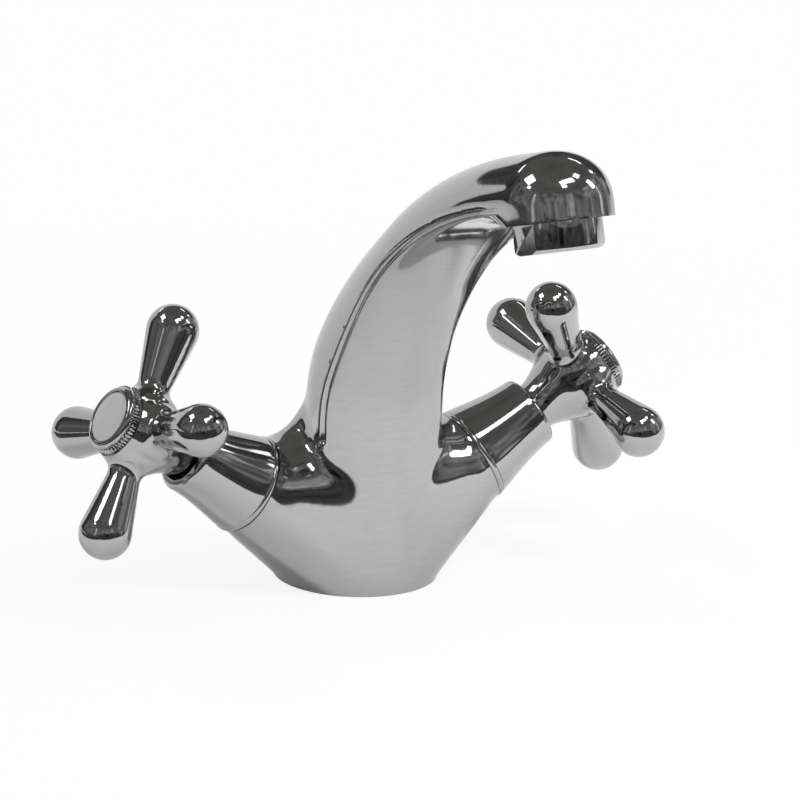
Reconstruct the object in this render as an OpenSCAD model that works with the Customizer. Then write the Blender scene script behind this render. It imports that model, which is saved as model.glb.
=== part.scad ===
// Two-handle basin mixer tap: one cast body on a single tap hole, a fixed swan-neck spout and two
// raised valve branches, each with a quarter-turn ceramic headwork, a flared sleeve and a cross handle.
// +Z is up, -Y is the way the spout points, +X is the right-hand valve, and the origin is the centre
// of the body's foot on the deck. Every valve piece is drawn along its own valve axis, outwards.

/* [Foot] */
// Diameter of the round foot on the deck
foot_d = 48.6; // [46:0.1:60]
// Height of the straight land at the edge of the foot
foot_land_h = 0.8; // [0.4:0.1:2]
// Distance between the two hose inlets
inlet_spacing = 16; // [15:0.5:18]
// Diameter of a hose inlet, drilled for an M10x1 thread
inlet_d = 9; // [8:0.1:9.4]
// Distance between the two fixing studs
stud_spacing = 26; // [24:0.5:28]
// Diameter of a stud hole, drilled for an M6 thread
stud_d = 5; // [4:0.1:6]
// Depth of a stud hole
stud_depth = 12; // [8:0.5:14]
// Inside diameter of the rubber ring under the foot
gasket_inner_d = 38; // [36.5:0.1:39]
// Width of the rubber ring under the foot
gasket_w = 3.2; // [2:0.1:3.4]
// Height of the rubber ring, pressed flush with the foot
gasket_h = 2.2; // [1.5:0.1:3]

/* [Spout] */
// Reach from the middle of the foot to the middle of the outlet
reach = 110.7; // [106:0.1:116]
// Height of the outlet face above the deck
outlet_h = 136; // [132:0.1:140]
// Forward tilt of the outlet
outlet_tilt = 17.8; // [14:0.1:21]
// Length of the straight end of the seam behind the outlet
straight_len = 14.6; // [12:0.1:17]
// Radius of the front bend
front_bend_r = 145; // [138:1:152]
// Lean of the neck where the front bend meets the middle one
front_lean = 52.5; // [51:0.1:54]
// Radius of the middle bend
middle_bend_r = 114; // [110:1:118]
// Lean of the neck where the middle bend meets the lower one
lower_lean = 22; // [20:0.5:24]
// Radius of the lower bend
lower_bend_r = 37; // [33:0.5:41]
// Half width of the neck at its root, between the branches
root_half_w = 20.6; // [19:0.1:22]
// Half width of the neck along its bends
neck_half_w = 19.1; // [18:0.1:20]
// Half width of the round nose
nose_half_w = 16.4; // [15.4:0.1:17.5]
// Depth of the back rib at the root of the neck
root_rib_depth = 26.7; // [25:0.1:29]
// Depth of the back rib where the neck leans over
neck_rib_depth = 15.3; // [14.5:0.1:17]
// Depth of the back rib at the nose
nose_rib_depth = 14.3; // [13.5:0.1:15.5]
// Bow of the front web at the root of the neck
root_web_bow = 6.6; // [5.5:0.1:8]
// Bow of the front web where the neck leans over
neck_web_bow = 4.8; // [3:0.1:5.4]
// Bow of the front web where it runs into the nose
nose_web_bow = 0.5; // [0.2:0.1:1]
// Depth of the nose below the seam
nose_skirt_h = 5.5; // [4.5:0.1:7]
// Wall of the hollow neck
neck_wall = 3.5; // [3:0.1:4.5]
// Width of the groove between the back rib and the front web, at the root of the neck
groove_w = 2.6; // [2:0.1:4]
// Width of the groove where it reaches the nose
nose_groove_w = 1.2; // [0.8:0.1:2]
// Depth of the groove
groove_depth = 1.4; // [0.6:0.1:2]

/* [Branches] */
// Height at which the two valve axes meet
axis_root_h = 10; // [9:0.1:12]
// Rise of each valve axis above level
axis_rise = 30; // [28:0.5:33]
// Distance along a valve axis to the valve seat
seat_s = 22; // [21:0.1:23]
// Distance along a valve axis to the end face of the branch
branch_s = 42.4; // [41.5:0.1:44]
// Diameter of the end face of a branch
branch_d = 29; // [27.5:0.1:30]
// Diameter of the headwork thread, G1/2
thread_d = 20.96; // [20.5:0.01:21]
// Diameter of the water way through a valve seat
seat_hole_d = 8.6; // [6:0.1:9]
// Diameter of the mixed-water way in the neck
water_way_d = 12; // [8:0.5:14]
// Diameter of the cross way between the valves
cross_way_d = 6; // [4:0.5:7]

/* [Sleeves] */
// Length of the flared sleeve
sleeve_len = 24.3; // [23.5:0.1:25.5]
// Diameter of the sleeve's flared rim
sleeve_rim_d = 29.8; // [29.2:0.1:31]
// Diameter of the sleeve at its outer end
sleeve_end_d = 21.8; // [20.4:0.1:23]
// Diameter of the sleeve's open mouth
sleeve_mouth_d = 16.4; // [16:0.1:17]
// Wall of the sleeve
sleeve_wall = 1.3; // [1:0.1:1.5]
// Hollow of the sleeve's bell, 1 for a straight cone
bell_power = 1.5; // [1:0.1:3]

/* [Headworks] */
// Diameter of the spindle shaft
spindle_d = 10; // [9:0.1:11]
// Diameter over the spline teeth
spline_d = 8; // [7.6:0.1:8.6]
// Number of spline teeth
spline_teeth = 20; // [16:1:24]
// Depth of a spline tooth
spline_depth = 0.5; // [0.3:0.05:0.6]
// Diameter of the ceramic discs
disc_d = 16.4; // [15.5:0.1:16.6]
// Thickness of a ceramic disc
disc_h = 3.5; // [3:0.1:3.8]
// Thickness of the rubber seat seal when it is pressed
seal_h = 2; // [1.5:0.1:2.4]
// Thickness of the gasket under the headwork's flange
washer_h = 1.2; // [0.8:0.1:1.6]
// Width across flats of the headwork's hexagon
hex_af = 17; // [16:0.1:18]
// Diameter of the headwork's neck
headwork_neck_d = 12.6; // [12.4:0.1:13.4]

/* [Handles] */
// Distance along a valve axis to the middle of the cross
hub_s = 83.4; // [82.5:0.1:85]
// Distance from the valve axis to the middle of an arm's ball end
arm_len = 31.6; // [28:0.1:36]
// Radius of an arm's ball end
ball_r = 7.8; // [6.5:0.1:8.6]
// Radius of an arm's neck
arm_neck_r = 4.9; // [4:0.1:5.6]
// Radius of the hub at the cross
hub_r = 11.4; // [10.9:0.1:12.4]
// Radius of the hub's neck, which turns in the sleeve's mouth
hub_neck_r = 7.2; // [6.8:0.1:7.5]
// Resting turn of the left cross about its valve axis
left_turn = 18; // [0:1:44]
// Resting turn of the right cross about its valve axis
right_turn = 19; // [0:1:44]
// Radius over the milled edge of the index cap
cap_r = 10.4; // [9.8:0.1:10.8]
// Number of teeth on the milled edge
cap_teeth = 60; // [40:1:72]
// Radius of the index disc
disc_face_r = 7.7; // [6.5:0.1:8]

/* [Aerator] */
// Diameter of the aerator thread, M24x1
aerator_thread_d = 24; // [22:0.1:24.5]
// Diameter of the aerator's collar
collar_d = 25.2; // [25:0.1:27]
// Height of the collar below the outlet face
collar_h = 8.4; // [6:0.1:9]
// Width across the collar's two spanner flats
collar_flats = 22; // [21.6:0.1:23]
// Wall of the aerator housing
aerator_wall = 1.8; // [1.5:0.1:2]

/* [Hidden] */
left = -1;
right = 1;
// Running clearance on a radius, and the small gap between faces that slide
fit = 0.05;
gap = 0.1;
// Cuts run this far past the face that they open
past = 1;

// Colours
chrome = "silver";
raw_brass = "darkgoldenrod";
dark_rubber = [0.12, 0.12, 0.13];
ceramic = "ivory";
steel = "gainsboro";
filter_plastic = [0.85, 0.86, 0.88];

// Foot
foot_r = foot_d / 2;
gasket_outer_r = gasket_inner_d / 2 + gasket_w;

// The body's flanks start inside the foot's land
flank_inset = 0.4;
flank_r = foot_r - flank_inset;
flank_h = foot_land_h / 2;
// Height of the inlets' drilled ends above the point where the valve axes meet
inlet_top_h = 6;

// Sections of the neck: steps round the back rib, and across the front web between the grooves
rib_steps = 16;
web_steps = 12;
// Rings up the root, round each bend and along the skirt, and the turn between the nose's rings
root_steps = 8;
lower_steps = 5;
middle_steps = 10;
front_steps = 8;
skirt_steps = 5;
nose_step = 10;
root_lean = 0;
nose_lean = 90 - outlet_tilt;
// Distances up the seam from the root where the neck's width, rib and web stop or start changing
shoulder_len = 16;
taper_start = 60;
rib_len = 68;
web_len = 56;
web_end = 108;
// How early the skirt comes down, and how far the web's edges stand inside the rib's
skirt_pace = 1.15;
edge_inset = 1.1;
// Steps round the cast core, the height of its floor, and how much its blind end draws in
core_steps = 24;
core_floor_h = 39;
core_end_draw = 1;
// Cross way between the valve bores: its height, and how far it reaches each side
cross_way_h = 32.5;
cross_way_x = 19;

// Land at the branches' end faces, and the round crown between the branches
end_land_h = 1;
crown_r = 16;
crown_h = 30;
saddle_r = 6.5;
saddle_y = 2;
saddle_path = [[12.6, 53], [17, 42.5], [25, 37.6]];

// Valve bore and the headwork's stations along the axis
bore_r = thread_d / 2 + fit;
cage_r = disc_d / 2 + gap;
cage_wall = 0.9;
cage_outer_r = cage_r + cage_wall;
cage_foot_h = 0.8;
cage_s = seat_s + cage_foot_h;
fixed_disc_s = seat_s + seal_h;
moving_disc_s = fixed_disc_s + disc_h;
driver_s = moving_disc_s + disc_h;
driver_h = 2;
slot_w = 4;
slot_depth = 1.5;
cage_roof_h = 1.4;
thread_s = driver_s + driver_h + cage_roof_h;
flange_s = branch_s + washer_h;
flange_h = 1.5;
flange_lip = 1.3;
flange_r = thread_d / 2 + flange_lip;
hex_h = 6;
hex_s = flange_s + flange_h;
hex_r = hex_af / sqrt(3);
collar_s = hex_s + hex_h;
sleeve_thread_h = 5;
sleeve_thread_r = 8;
sleeve_end_s = branch_s + sleeve_len;
// The headwork's neck ends this far inside the sleeve's mouth
neck_top_inset = 4.7;
neck_top_s = sleeve_end_s - neck_top_inset;
spindle_r = spindle_d / 2;
port_r = 2.2;
port_offset = 4.4;
// The seat seal's bore is this much larger all round than the hole through the seat
seal_bore_step = 0.4;

// Spindle
clip_h = 0.9;
clip_s = neck_top_s + gap;
clip_lip = 0.9;
clip_groove_depth = 1.1;
clip_groove_r = spindle_r - clip_groove_depth;
oring_r = 1;
oring_major_r = spindle_r - oring_r + fit / 2;
oring_pitch = 7;
oring_places = [thread_s + oring_pitch, thread_s + 2 * oring_pitch];
clip_shoulder_h = 0.5;
spline_s = clip_s + clip_h + clip_shoulder_h;
// The spindle ends this far inside the middle of the cross
spline_end_inset = 5.4;
spline_end_s = hub_s - spline_end_inset;
spline_r = spline_d / 2;

// Handle: its seat on the spindle, its front face, and the recess for the screw and the cap
hub_inner_s = spline_s + gap;
hub_front_h = 7.4;
hub_front_s = hub_s + hub_front_h;
spline_room = 0.3;
recess_floor_inset = 1.4;
recess_s = hub_s - recess_floor_inset;
recess_r = 8.2;
arm_step = 90;
// Hollow back of the hub, as points [out from its neck, inwards from the middle of the cross]
hub_neck_end = 0.4;
hub_back = [[0.8, 12.8], [2, 10], [3.3, 7.4]];
// Belly of the hub, as points [in from its radius, outwards from the middle of the cross]
hub_belly = [[0, -4.6], [0, -1.5], [0, 2.2], [0.3, 4.6]];
hub_edge = 0.4;
// Root of an arm inside the hub, and the hollow flare that blends the arm into the hub
arm_root_share = 0.5;
flare_stand = 2.6;
flare_r = 3.4;

// Handle screw
screw_r = 2.4;
screw_head_r = 4.4;
screw_head_h = 3.4;
screw_thread_len = 10;
screw_tip_room = 2;
screw_socket_r = 2.3;
screw_socket_h = 2;

// Index cap and disc
cap_edge_h = 2.6;
cap_face_h = 11.5;
cap_face_s = hub_s + cap_face_h;
cap_stem_h = 4;
cap_stem_wall = 1.4;
cap_roof_h = 1;
bezel_step = 0.8;
tooth_depth = 0.45;
disc_face_h = 1.2;
disc_face_inset = 0.2;

// Aerator
collar_r = collar_d / 2;
aerator_thread_r = aerator_thread_d / 2;
aerator_thread_h = 6;
aerator_chamfer = 1;
insert_r = aerator_thread_r - aerator_wall - fit;
insert_wall = 1.2;
insert_step_r = insert_r - insert_wall;
insert_inset = 1.8;
insert_h = collar_h + aerator_thread_h - insert_inset;
insert_face_h = 3;
jet_r = 1.1;
jet_pitch = 3;
washer_top_h = 1.6;
washer_bore_step = 1;
aerator_bore_depth = aerator_thread_h + washer_top_h;
outlet_shelf_h = 2;

// Places children along a valve axis, +Z outwards
module at_valve(side) {
    translate([0, 0, axis_root_h])
        rotate([0, side * (90 - axis_rise), 0])
            children();
}

// Places children at the outlet: the face is z = 0 and +Z goes up into the nose
module at_outlet() {
    translate([0, -reach, outlet_h])
        rotate([-outlet_tilt, 0, 0])
            children();
}

module ring(outer_r, inner_r, h) {
    difference() {
        cylinder(r = outer_r, h = h, $fn = 96);
        translate([0, 0, -past])
            cylinder(r = inner_r, h = h + 2 * past, $fn = 96);
    }
}

// Section of the neck: half-ellipse rib behind the seam, groove, and bowed web in front of it.
// Points are [across, backwards], from the right end of the rib round to the right groove.
function rib_points(half_w, depth) = [
    for (i = [0 : rib_steps])
        let (a = 180 * i / rib_steps)
        [half_w * cos(a), depth * sin(a)]
];
function web_points(half_w, bow, drop) = [
    for (i = [0 : web_steps])
        let (t = 2 * i / web_steps - 1)
        [half_w * t, -drop - bow * (1 - t * t)]
];
function section(half_w, rib, bow, groove, drop) = concat(
    rib_points(half_w, rib),
    [[groove - half_w, -drop / 2]],
    web_points(half_w - groove * edge_inset / groove_depth, bow, drop),
    [[half_w - groove, -drop / 2]]
);

// A point of a section, set on the seam at [y, z] with the neck leaning forwards
function placed(p, seam, lean) = [p[0], seam[0] + p[1] * cos(lean), seam[1] + p[1] * sin(lean)];
function ring_at(points, seam, lean) = [for (p = points) placed(p, seam, lean)];
function mixed(a, b, k) = [for (i = [0 : len(a) - 1]) a[i] * (1 - k) + b[i] * k];
function eased(k) = k * k * (3 - 2 * k);
function between(a, b, k) = a + (b - a) * eased(max(0, min(1, k)));

// The seam, from the nose back down to the foot
outlet_up = [sin(outlet_tilt), cos(outlet_tilt)];
outlet_forward = [-cos(outlet_tilt), sin(outlet_tilt)];
nose_seam = [-reach, outlet_h] + nose_skirt_h * outlet_up;
front_start = nose_seam - straight_len * outlet_forward;
function bend_point(from, from_lean, lean, r) =
    from + r * [cos(lean) - cos(from_lean), sin(lean) - sin(from_lean)];
middle_start = bend_point(front_start, nose_lean, front_lean, front_bend_r);
lower_start = bend_point(middle_start, front_lean, lower_lean, middle_bend_r);
root_seam = bend_point(lower_start, lower_lean, root_lean, lower_bend_r);

// Length of the seam round the three bends
function arc_len(r, turn) = r * turn * PI / 180;
lower_len = arc_len(lower_bend_r, lower_lean - root_lean);
middle_len = arc_len(middle_bend_r, front_lean - lower_lean);
front_len = arc_len(front_bend_r, nose_lean - front_lean);
neck_len = lower_len + middle_len + front_len;

// Sizes of the section at a distance u up the seam from the root
function half_w_at(u) = u < taper_start
    ? between(root_half_w, neck_half_w, u / shoulder_len)
    : between(neck_half_w, nose_half_w, (u - taper_start) / (neck_len - taper_start));
function rib_at(u) = u < rib_len
    ? between(root_rib_depth, neck_rib_depth, u / rib_len)
    : between(neck_rib_depth, nose_rib_depth, (u - rib_len) / (neck_len - rib_len));
function web_bow_at(u) = u < web_len
    ? between(root_web_bow, neck_web_bow, u / web_len)
    : between(neck_web_bow, nose_web_bow, (u - web_len) / (web_end - web_len));
function groove_at(u) = between(groove_w, nose_groove_w, u / rib_len);
function neck_ring(seam, lean, u) =
    ring_at(section(half_w_at(u), rib_at(u), web_bow_at(u), groove_depth, groove_at(u)), seam, lean);

// Rings up the root of the neck, round at the foot, then round the three bends
foot_ring = [
    for (i = [0 : 2 * rib_steps - 1])
        let (a = 180 * i / rib_steps)
        [flank_r * cos(a), flank_r * sin(a), 0]
];
root_rings = [
    for (i = [0 : root_steps - 1])
        let (k = i / root_steps, h = flank_h + k * (root_seam[1] - flank_h))
        mixed([for (p = foot_ring) p + [0, 0, h]],
              neck_ring([root_seam[0], h], root_lean, 0), eased(k))
];
// Places [seam, lean, distance up the seam] round the three bends, from the root to the nose
function bend_places(from, from_lean, lean, r, from_u, steps) = [
    for (i = [0 : steps - 1])
        let (a = from_lean + (lean - from_lean) * i / steps)
        [bend_point(from, from_lean, a, r), a, from_u + arc_len(r, a - from_lean)]
];
neck_places = concat(
    bend_places(root_seam, root_lean, lower_lean, lower_bend_r, 0, lower_steps),
    bend_places(lower_start, lower_lean, front_lean, middle_bend_r, lower_len, middle_steps),
    bend_places(middle_start, front_lean, nose_lean, front_bend_r, lower_len + middle_len, front_steps)
);

// The nose: the skirt comes down to the outlet face, and the end is round in plan
skirt_rings = [
    for (i = [0 : skirt_steps])
        let (k = i / skirt_steps,
             down = skirt_pace * k,
             bow = between(nose_web_bow, 0, down),
             groove = between(groove_depth, 0, down),
             drop = between(nose_groove_w, nose_skirt_h, down))
        ring_at(section(nose_half_w, nose_rib_depth, bow, groove, drop),
                front_start + k * straight_len * outlet_forward, nose_lean)
];
nose_rings = [
    for (a = [nose_step : nose_step : 90 - nose_step])
        ring_at(section(nose_half_w * cos(a), nose_rib_depth * cos(a), 0, 0, nose_skirt_h),
                nose_seam + nose_half_w * sin(a) * outlet_forward, nose_lean)
];
bend_rings = [for (p = neck_places) neck_ring(p[0], p[1], p[2])];
neck_rings = concat(root_rings, bend_rings, skirt_rings, nose_rings);

// The cast core: an oval way up the neck, one wall inside the section
function core_points(half_w, back, front) = [
    for (i = [0 : core_steps - 1])
        let (a = 360 * i / core_steps)
        [half_w * cos(a), (back - front) / 2 + (back + front) / 2 * sin(a)]
];
outlet_roof = nose_rib_depth - neck_wall;
outlet_floor = aerator_bore_depth + outlet_shelf_h - nose_skirt_h;
core_half_w = nose_half_w - groove_depth - neck_wall;
function core_front_at(u) =
    between(groove_at(u) + web_bow_at(u) - neck_wall, -outlet_floor,
            (u - web_len) / (neck_len - web_len));
function core_ring(seam, lean, u) =
    ring_at(core_points(half_w_at(u) - groove_depth - neck_wall, rib_at(u) - neck_wall,
                        core_front_at(u)), seam, lean);
core_rings = concat(
    [core_ring([root_seam[0], core_floor_h], root_lean, 0)],
    [for (p = neck_places) core_ring(p[0], p[1], p[2])],
    [
        for (k = [0, 1])
            ring_at(core_points(core_half_w, outlet_roof, -outlet_floor),
                    front_start + k * straight_len * outlet_forward, nose_lean)
    ],
    [
        ring_at(core_points(water_way_d / 2, outlet_roof - core_end_draw,
                            -outlet_floor - core_end_draw),
                nose_seam + water_way_d / 2 * outlet_forward, nose_lean)
    ]
);

// Solid through a list of closed rings with the same number of points
module lofted(rings) {
    n = len(rings[0]);
    last = (len(rings) - 1) * n;
    sides = [
        for (j = [0 : len(rings) - 2], i = [0 : n - 1])
            let (a = j * n + i, b = j * n + (i + 1) % n)
            each [[a, a + n, b], [b, a + n, b + n]]
    ];
    middle = rib_steps / 2;
    first_cap = [for (i = [0 : n - 1]) (middle + i) % n];
    last_cap = [for (i = [0 : n - 1]) last + (middle + n - i) % n];
    polyhedron(points = [for (r = rings) each r], faces = concat([first_cap], sides, [last_cap]));
}

// Both valve branches as one solid, from the foot out to their end faces
module branches() {
    hull() {
        translate([0, 0, flank_h])
            cylinder(r = flank_r, h = flank_h, $fn = 64);
        translate([0, 0, crown_h])
            sphere(r = crown_r, $fn = 40);
        for (side = [left, right])
            at_valve(side)
                translate([0, 0, branch_s - end_land_h])
                    cylinder(d = branch_d, h = end_land_h, $fn = 48);
    }
}

// Saddle that runs the side of the neck out onto the top of a branch
module saddle(side) {
    for (i = [0 : len(saddle_path) - 2])
        hull()
            for (p = [saddle_path[i], saddle_path[i + 1]])
                translate([side * p[0], saddle_y, p[1]])
                    sphere(r = saddle_r, $fn = 16);
}

module body() {
    seat_hole_s = inlet_spacing / 2 / cos(axis_rise);
    color(chrome)
    difference() {
        union() {
            cylinder(r = foot_r, h = foot_land_h, $fn = 96);
            lofted(neck_rings);
            branches();
            saddle(left);
            saddle(right);
        }
        // Groove for the rubber ring
        translate([0, 0, -past])
            ring(gasket_outer_r, gasket_inner_d / 2, gasket_h + past);
        for (side = [left, right]) {
            // Valve bore, seat hole and hose inlet
            at_valve(side)
                translate([0, 0, seat_s])
                    cylinder(r = bore_r, h = branch_s - seat_s + past, $fn = 96);
            at_valve(side)
                translate([0, 0, seat_hole_s])
                    cylinder(d = seat_hole_d, h = seat_s - seat_hole_s + past, $fn = 48);
            translate([side * inlet_spacing / 2, 0, -past])
                cylinder(d = inlet_d, h = axis_root_h + inlet_top_h + past, $fn = 48);
            translate([0, side * stud_spacing / 2, -past])
                cylinder(d = stud_d, h = stud_depth + past, $fn = 48);
        }
        // Cross way, rising way and cast core
        translate([-cross_way_x, 0, cross_way_h])
            rotate([0, 90, 0])
                cylinder(d = cross_way_d, h = 2 * cross_way_x, $fn = 48);
        translate([0, 0, cross_way_h])
            cylinder(d = water_way_d, h = core_floor_h - cross_way_h + past, $fn = 48);
        lofted(core_rings);
        // Aerator bore, and the way down into it
        at_outlet()
            translate([0, 0, -past])
                cylinder(r = aerator_thread_r + fit, h = aerator_bore_depth + past, $fn = 96);
        at_outlet()
            cylinder(d = water_way_d, h = nose_skirt_h + (outlet_floor + outlet_roof) / 2, $fn = 48);
    }
}

module base_gasket() {
    color(dark_rubber)
        ring(gasket_outer_r - fit, gasket_inner_d / 2 + fit, gasket_h - fit);
}

module aerator_housing() {
    color(chrome)
    difference() {
        union() {
            translate([0, 0, -collar_h + aerator_chamfer])
                cylinder(r = collar_r, h = collar_h - aerator_chamfer, $fn = 96);
            translate([0, 0, -collar_h])
                cylinder(r1 = collar_r - aerator_chamfer, r2 = collar_r, h = aerator_chamfer,
                         $fn = 96);
            cylinder(r = aerator_thread_r, h = aerator_thread_h, $fn = 96);
        }
        translate([0, 0, -collar_h - past])
            cylinder(r = aerator_thread_r - aerator_wall,
                     h = collar_h + aerator_thread_h + 2 * past, $fn = 96);
        for (side = [left, right])
            translate([side * (collar_flats + collar_d) / 2, 0, -collar_h / 2 - gap])
                cube([collar_d, 2 * collar_d, collar_h], center = true);
    }
}

// Filter cartridge: a honeycomb face in a ring, seated in the housing
module aerator_insert() {
    rows = floor((insert_step_r - jet_r) / jet_pitch) + 1;
    insert_foot = aerator_thread_h - insert_h;
    color(filter_plastic)
    difference() {
        translate([0, 0, insert_foot])
            cylinder(r = insert_r, h = insert_h, $fn = 96);
        translate([0, 0, insert_foot + insert_face_h])
            cylinder(r = insert_step_r, h = insert_h, $fn = 96);
        for (i = [-rows : rows], j = [-rows : rows])
            let (x = (i + j / 2) * jet_pitch, y = j * jet_pitch * sqrt(3) / 2)
            if (norm([x, y]) < insert_step_r - jet_r)
                translate([x, y, insert_foot - past])
                    cylinder(r = jet_r, h = insert_face_h + 2 * past, $fn = 6);
    }
}

module aerator_washer() {
    color(dark_rubber)
        translate([0, 0, aerator_thread_h])
            ring(aerator_thread_r - 2 * fit, water_way_d / 2 + washer_bore_step, washer_top_h);
}

// Flared sleeve that covers the headwork, with the thread web that holds it on
module sleeve() {
    rim_r = sleeve_rim_d / 2;
    end_r = sleeve_end_d / 2;
    lip_h = 2;
    edge_r = 0.4;
    corner_r = 1.8;
    bell_steps = 14;
    function bell(k) = end_r + (rim_r - end_r) * pow(1 - k, bell_power);
    bell_len = sleeve_len - lip_h - corner_r;
    outline = concat(
        [[rim_r - edge_r, 0], [rim_r, edge_r], [rim_r, lip_h - edge_r]],
        [for (i = [0 : bell_steps]) [bell(i / bell_steps), lip_h + bell_len * i / bell_steps]],
        [for (a = [22.5 : 22.5 : 90])
            [end_r - corner_r + corner_r * cos(a), sleeve_len - corner_r + corner_r * sin(a)]]
    );
    inner = [
        for (i = [bell_steps : -1 : 0])
            [bell(i / bell_steps) - sleeve_wall, lip_h / 2 + (bell_len - sleeve_wall) * i / bell_steps]
    ];
    mouth = [
        [sleeve_mouth_d / 2, sleeve_len],
        [sleeve_mouth_d / 2, lip_h + bell_len - sleeve_wall]
    ];
    // Room round the headwork's flange
    flange_room_r = 0.6;
    flange_room_h = 0.4;
    web_s = collar_s - branch_s;
    color(chrome)
    translate([0, 0, branch_s])
        rotate_extrude($fn = 96)
            difference() {
                union() {
                    polygon(concat(outline, mouth, inner, [[rim_r - sleeve_wall - edge_r, 0]]));
                    translate([sleeve_thread_r + fit, web_s])
                        square([end_r - sleeve_thread_r, sleeve_thread_h]);
                }
                translate([sleeve_thread_r + fit, 0])
                    square([flange_r + flange_room_r - sleeve_thread_r, web_s - hex_h + flange_room_h]);
            }
}

// Quarter-turn headwork: cage for the discs, thread, flange, hexagon, collar and neck
module headwork_body() {
    window_h = driver_h - 2 * gap;
    color(raw_brass)
    difference() {
        union() {
            translate([0, 0, cage_s])
                cylinder(r = cage_outer_r, h = thread_s - cage_s + past, $fn = 96);
            translate([0, 0, thread_s])
                cylinder(r = thread_d / 2, h = flange_s - thread_s, $fn = 96);
            translate([0, 0, flange_s])
                cylinder(r = flange_r, h = flange_h, $fn = 96);
            translate([0, 0, hex_s])
                cylinder(r = hex_r, h = hex_h, $fn = 6);
            translate([0, 0, collar_s])
                cylinder(r = sleeve_thread_r, h = sleeve_thread_h, $fn = 96);
            translate([0, 0, collar_s])
                cylinder(d = headwork_neck_d, h = neck_top_s - collar_s, $fn = 96);
        }
        translate([0, 0, cage_s - past])
            cylinder(r = cage_r, h = driver_s + driver_h + gap - cage_s + past, $fn = 96);
        translate([0, 0, driver_s])
            cylinder(r = spindle_r + fit, h = neck_top_s - driver_s + past, $fn = 96);
        // Two windows let the water out above the discs
        translate([0, 0, driver_s + window_h / 2])
            cube([cage_outer_r, 3 * cage_outer_r, window_h], center = true);
    }
}

module headwork_gasket() {
    color(dark_rubber)
        translate([0, 0, branch_s])
            ring(flange_r, bore_r + gap, washer_h);
}

module seat_seal() {
    color(dark_rubber)
        translate([0, 0, seat_s])
            ring(cage_r - fit, seat_hole_d / 2 + seal_bore_step, seal_h);
}

// A ceramic disc with its two ports, the ports turned about the axis
module port_disc(at_s, turn) {
    color(ceramic)
    translate([0, 0, at_s])
        difference() {
            cylinder(d = disc_d, h = disc_h, $fn = 96);
            rotate([0, 0, turn])
                for (side = [left, right])
                    translate([side * port_offset, 0, -past])
                        cylinder(r = port_r, h = disc_h + 2 * past, $fn = 48);
            children();
        }
}

module fixed_disc() {
    port_disc(fixed_disc_s, 0);
}

// The moving disc sits a quarter turn from open, with a slot across its back for the driver
module moving_disc() {
    port_disc(moving_disc_s, 90)
        translate([0, 0, disc_h])
            cube([disc_d + past, slot_w, 2 * slot_depth], center = true);
}

function spline_points(r, depth) = [
    for (i = [0 : 4 * spline_teeth - 1])
        let (a = 90 * i / spline_teeth, tip = (i % 4) < 2)
        (tip ? r : r - depth) * [cos(a), sin(a)]
];

module spindle() {
    tang_h = slot_depth - gap;
    color(raw_brass)
    difference() {
        union() {
            intersection() {
                translate([0, 0, driver_s - tang_h])
                    cylinder(r = disc_d / 2 - 2 * gap, h = tang_h + past, $fn = 96);
                translate([0, 0, driver_s - tang_h / 2 + past / 2])
                    cube([disc_d, slot_w - 2 * gap, tang_h + past], center = true);
            }
            translate([0, 0, driver_s + gap / 2])
                cylinder(r = disc_d / 2, h = driver_h - gap, $fn = 96);
            translate([0, 0, driver_s + driver_h / 2])
                cylinder(r = spindle_r, h = spline_s - driver_s - driver_h / 2, $fn = 96);
            translate([0, 0, spline_s])
                linear_extrude(spline_end_s - spline_s)
                    polygon(spline_points(spline_r, spline_depth));
        }
        for (s = oring_places)
            translate([0, 0, s])
                rotate_extrude($fn = 96)
                    translate([oring_major_r - oring_r - gap, -oring_r - gap])
                        square(2 * (oring_r + gap));
        translate([0, 0, clip_s - gap / 2])
            ring(spindle_r + past, clip_groove_r, clip_h + gap);
        translate([0, 0, spline_end_s - screw_thread_len])
            cylinder(r = screw_r + fit, h = screw_thread_len + past, $fn = 48);
    }
}

module spindle_orings() {
    color(dark_rubber)
        for (s = oring_places)
            translate([0, 0, s])
                rotate_extrude($fn = 96)
                    translate([oring_major_r - gap, 0])
                        circle(r = oring_r, $fn = 24);
}

// Spring clip that holds the spindle in, open on one side
module spindle_clip() {
    clip_r = spindle_r + clip_lip;
    clip_mouth_w = 1.5 * clip_groove_r;
    color(steel)
    translate([0, 0, clip_s])
        difference() {
            ring(clip_r, clip_groove_r + fit, clip_h);
            translate([clip_r, 0, clip_h / 2])
                cube([2 * clip_r, clip_mouth_w, clip_h + past], center = true);
        }
}

// One arm of the cross: flared root, straight taper and ball end, turned about its own axis
module arm() {
    root_d = hub_r * arm_root_share;
    flare_d = hub_r + flare_stand;
    taper = asin((ball_r - arm_neck_r) / (arm_len - flare_d));
    profile = concat(
        [[0, root_d], [arm_neck_r + flare_r, root_d]],
        [for (a = [0 : 18 : 90])
            [arm_neck_r + flare_r * (1 - sin(a)), flare_d - flare_r * cos(a)]],
        [for (a = [-taper : 9 : 89]) [ball_r * cos(a), arm_len + ball_r * sin(a)]],
        [[0, arm_len + ball_r]]
    );
    rotate([0, 90, 0])
        rotate_extrude($fn = 72)
            polygon(profile);
}

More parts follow.
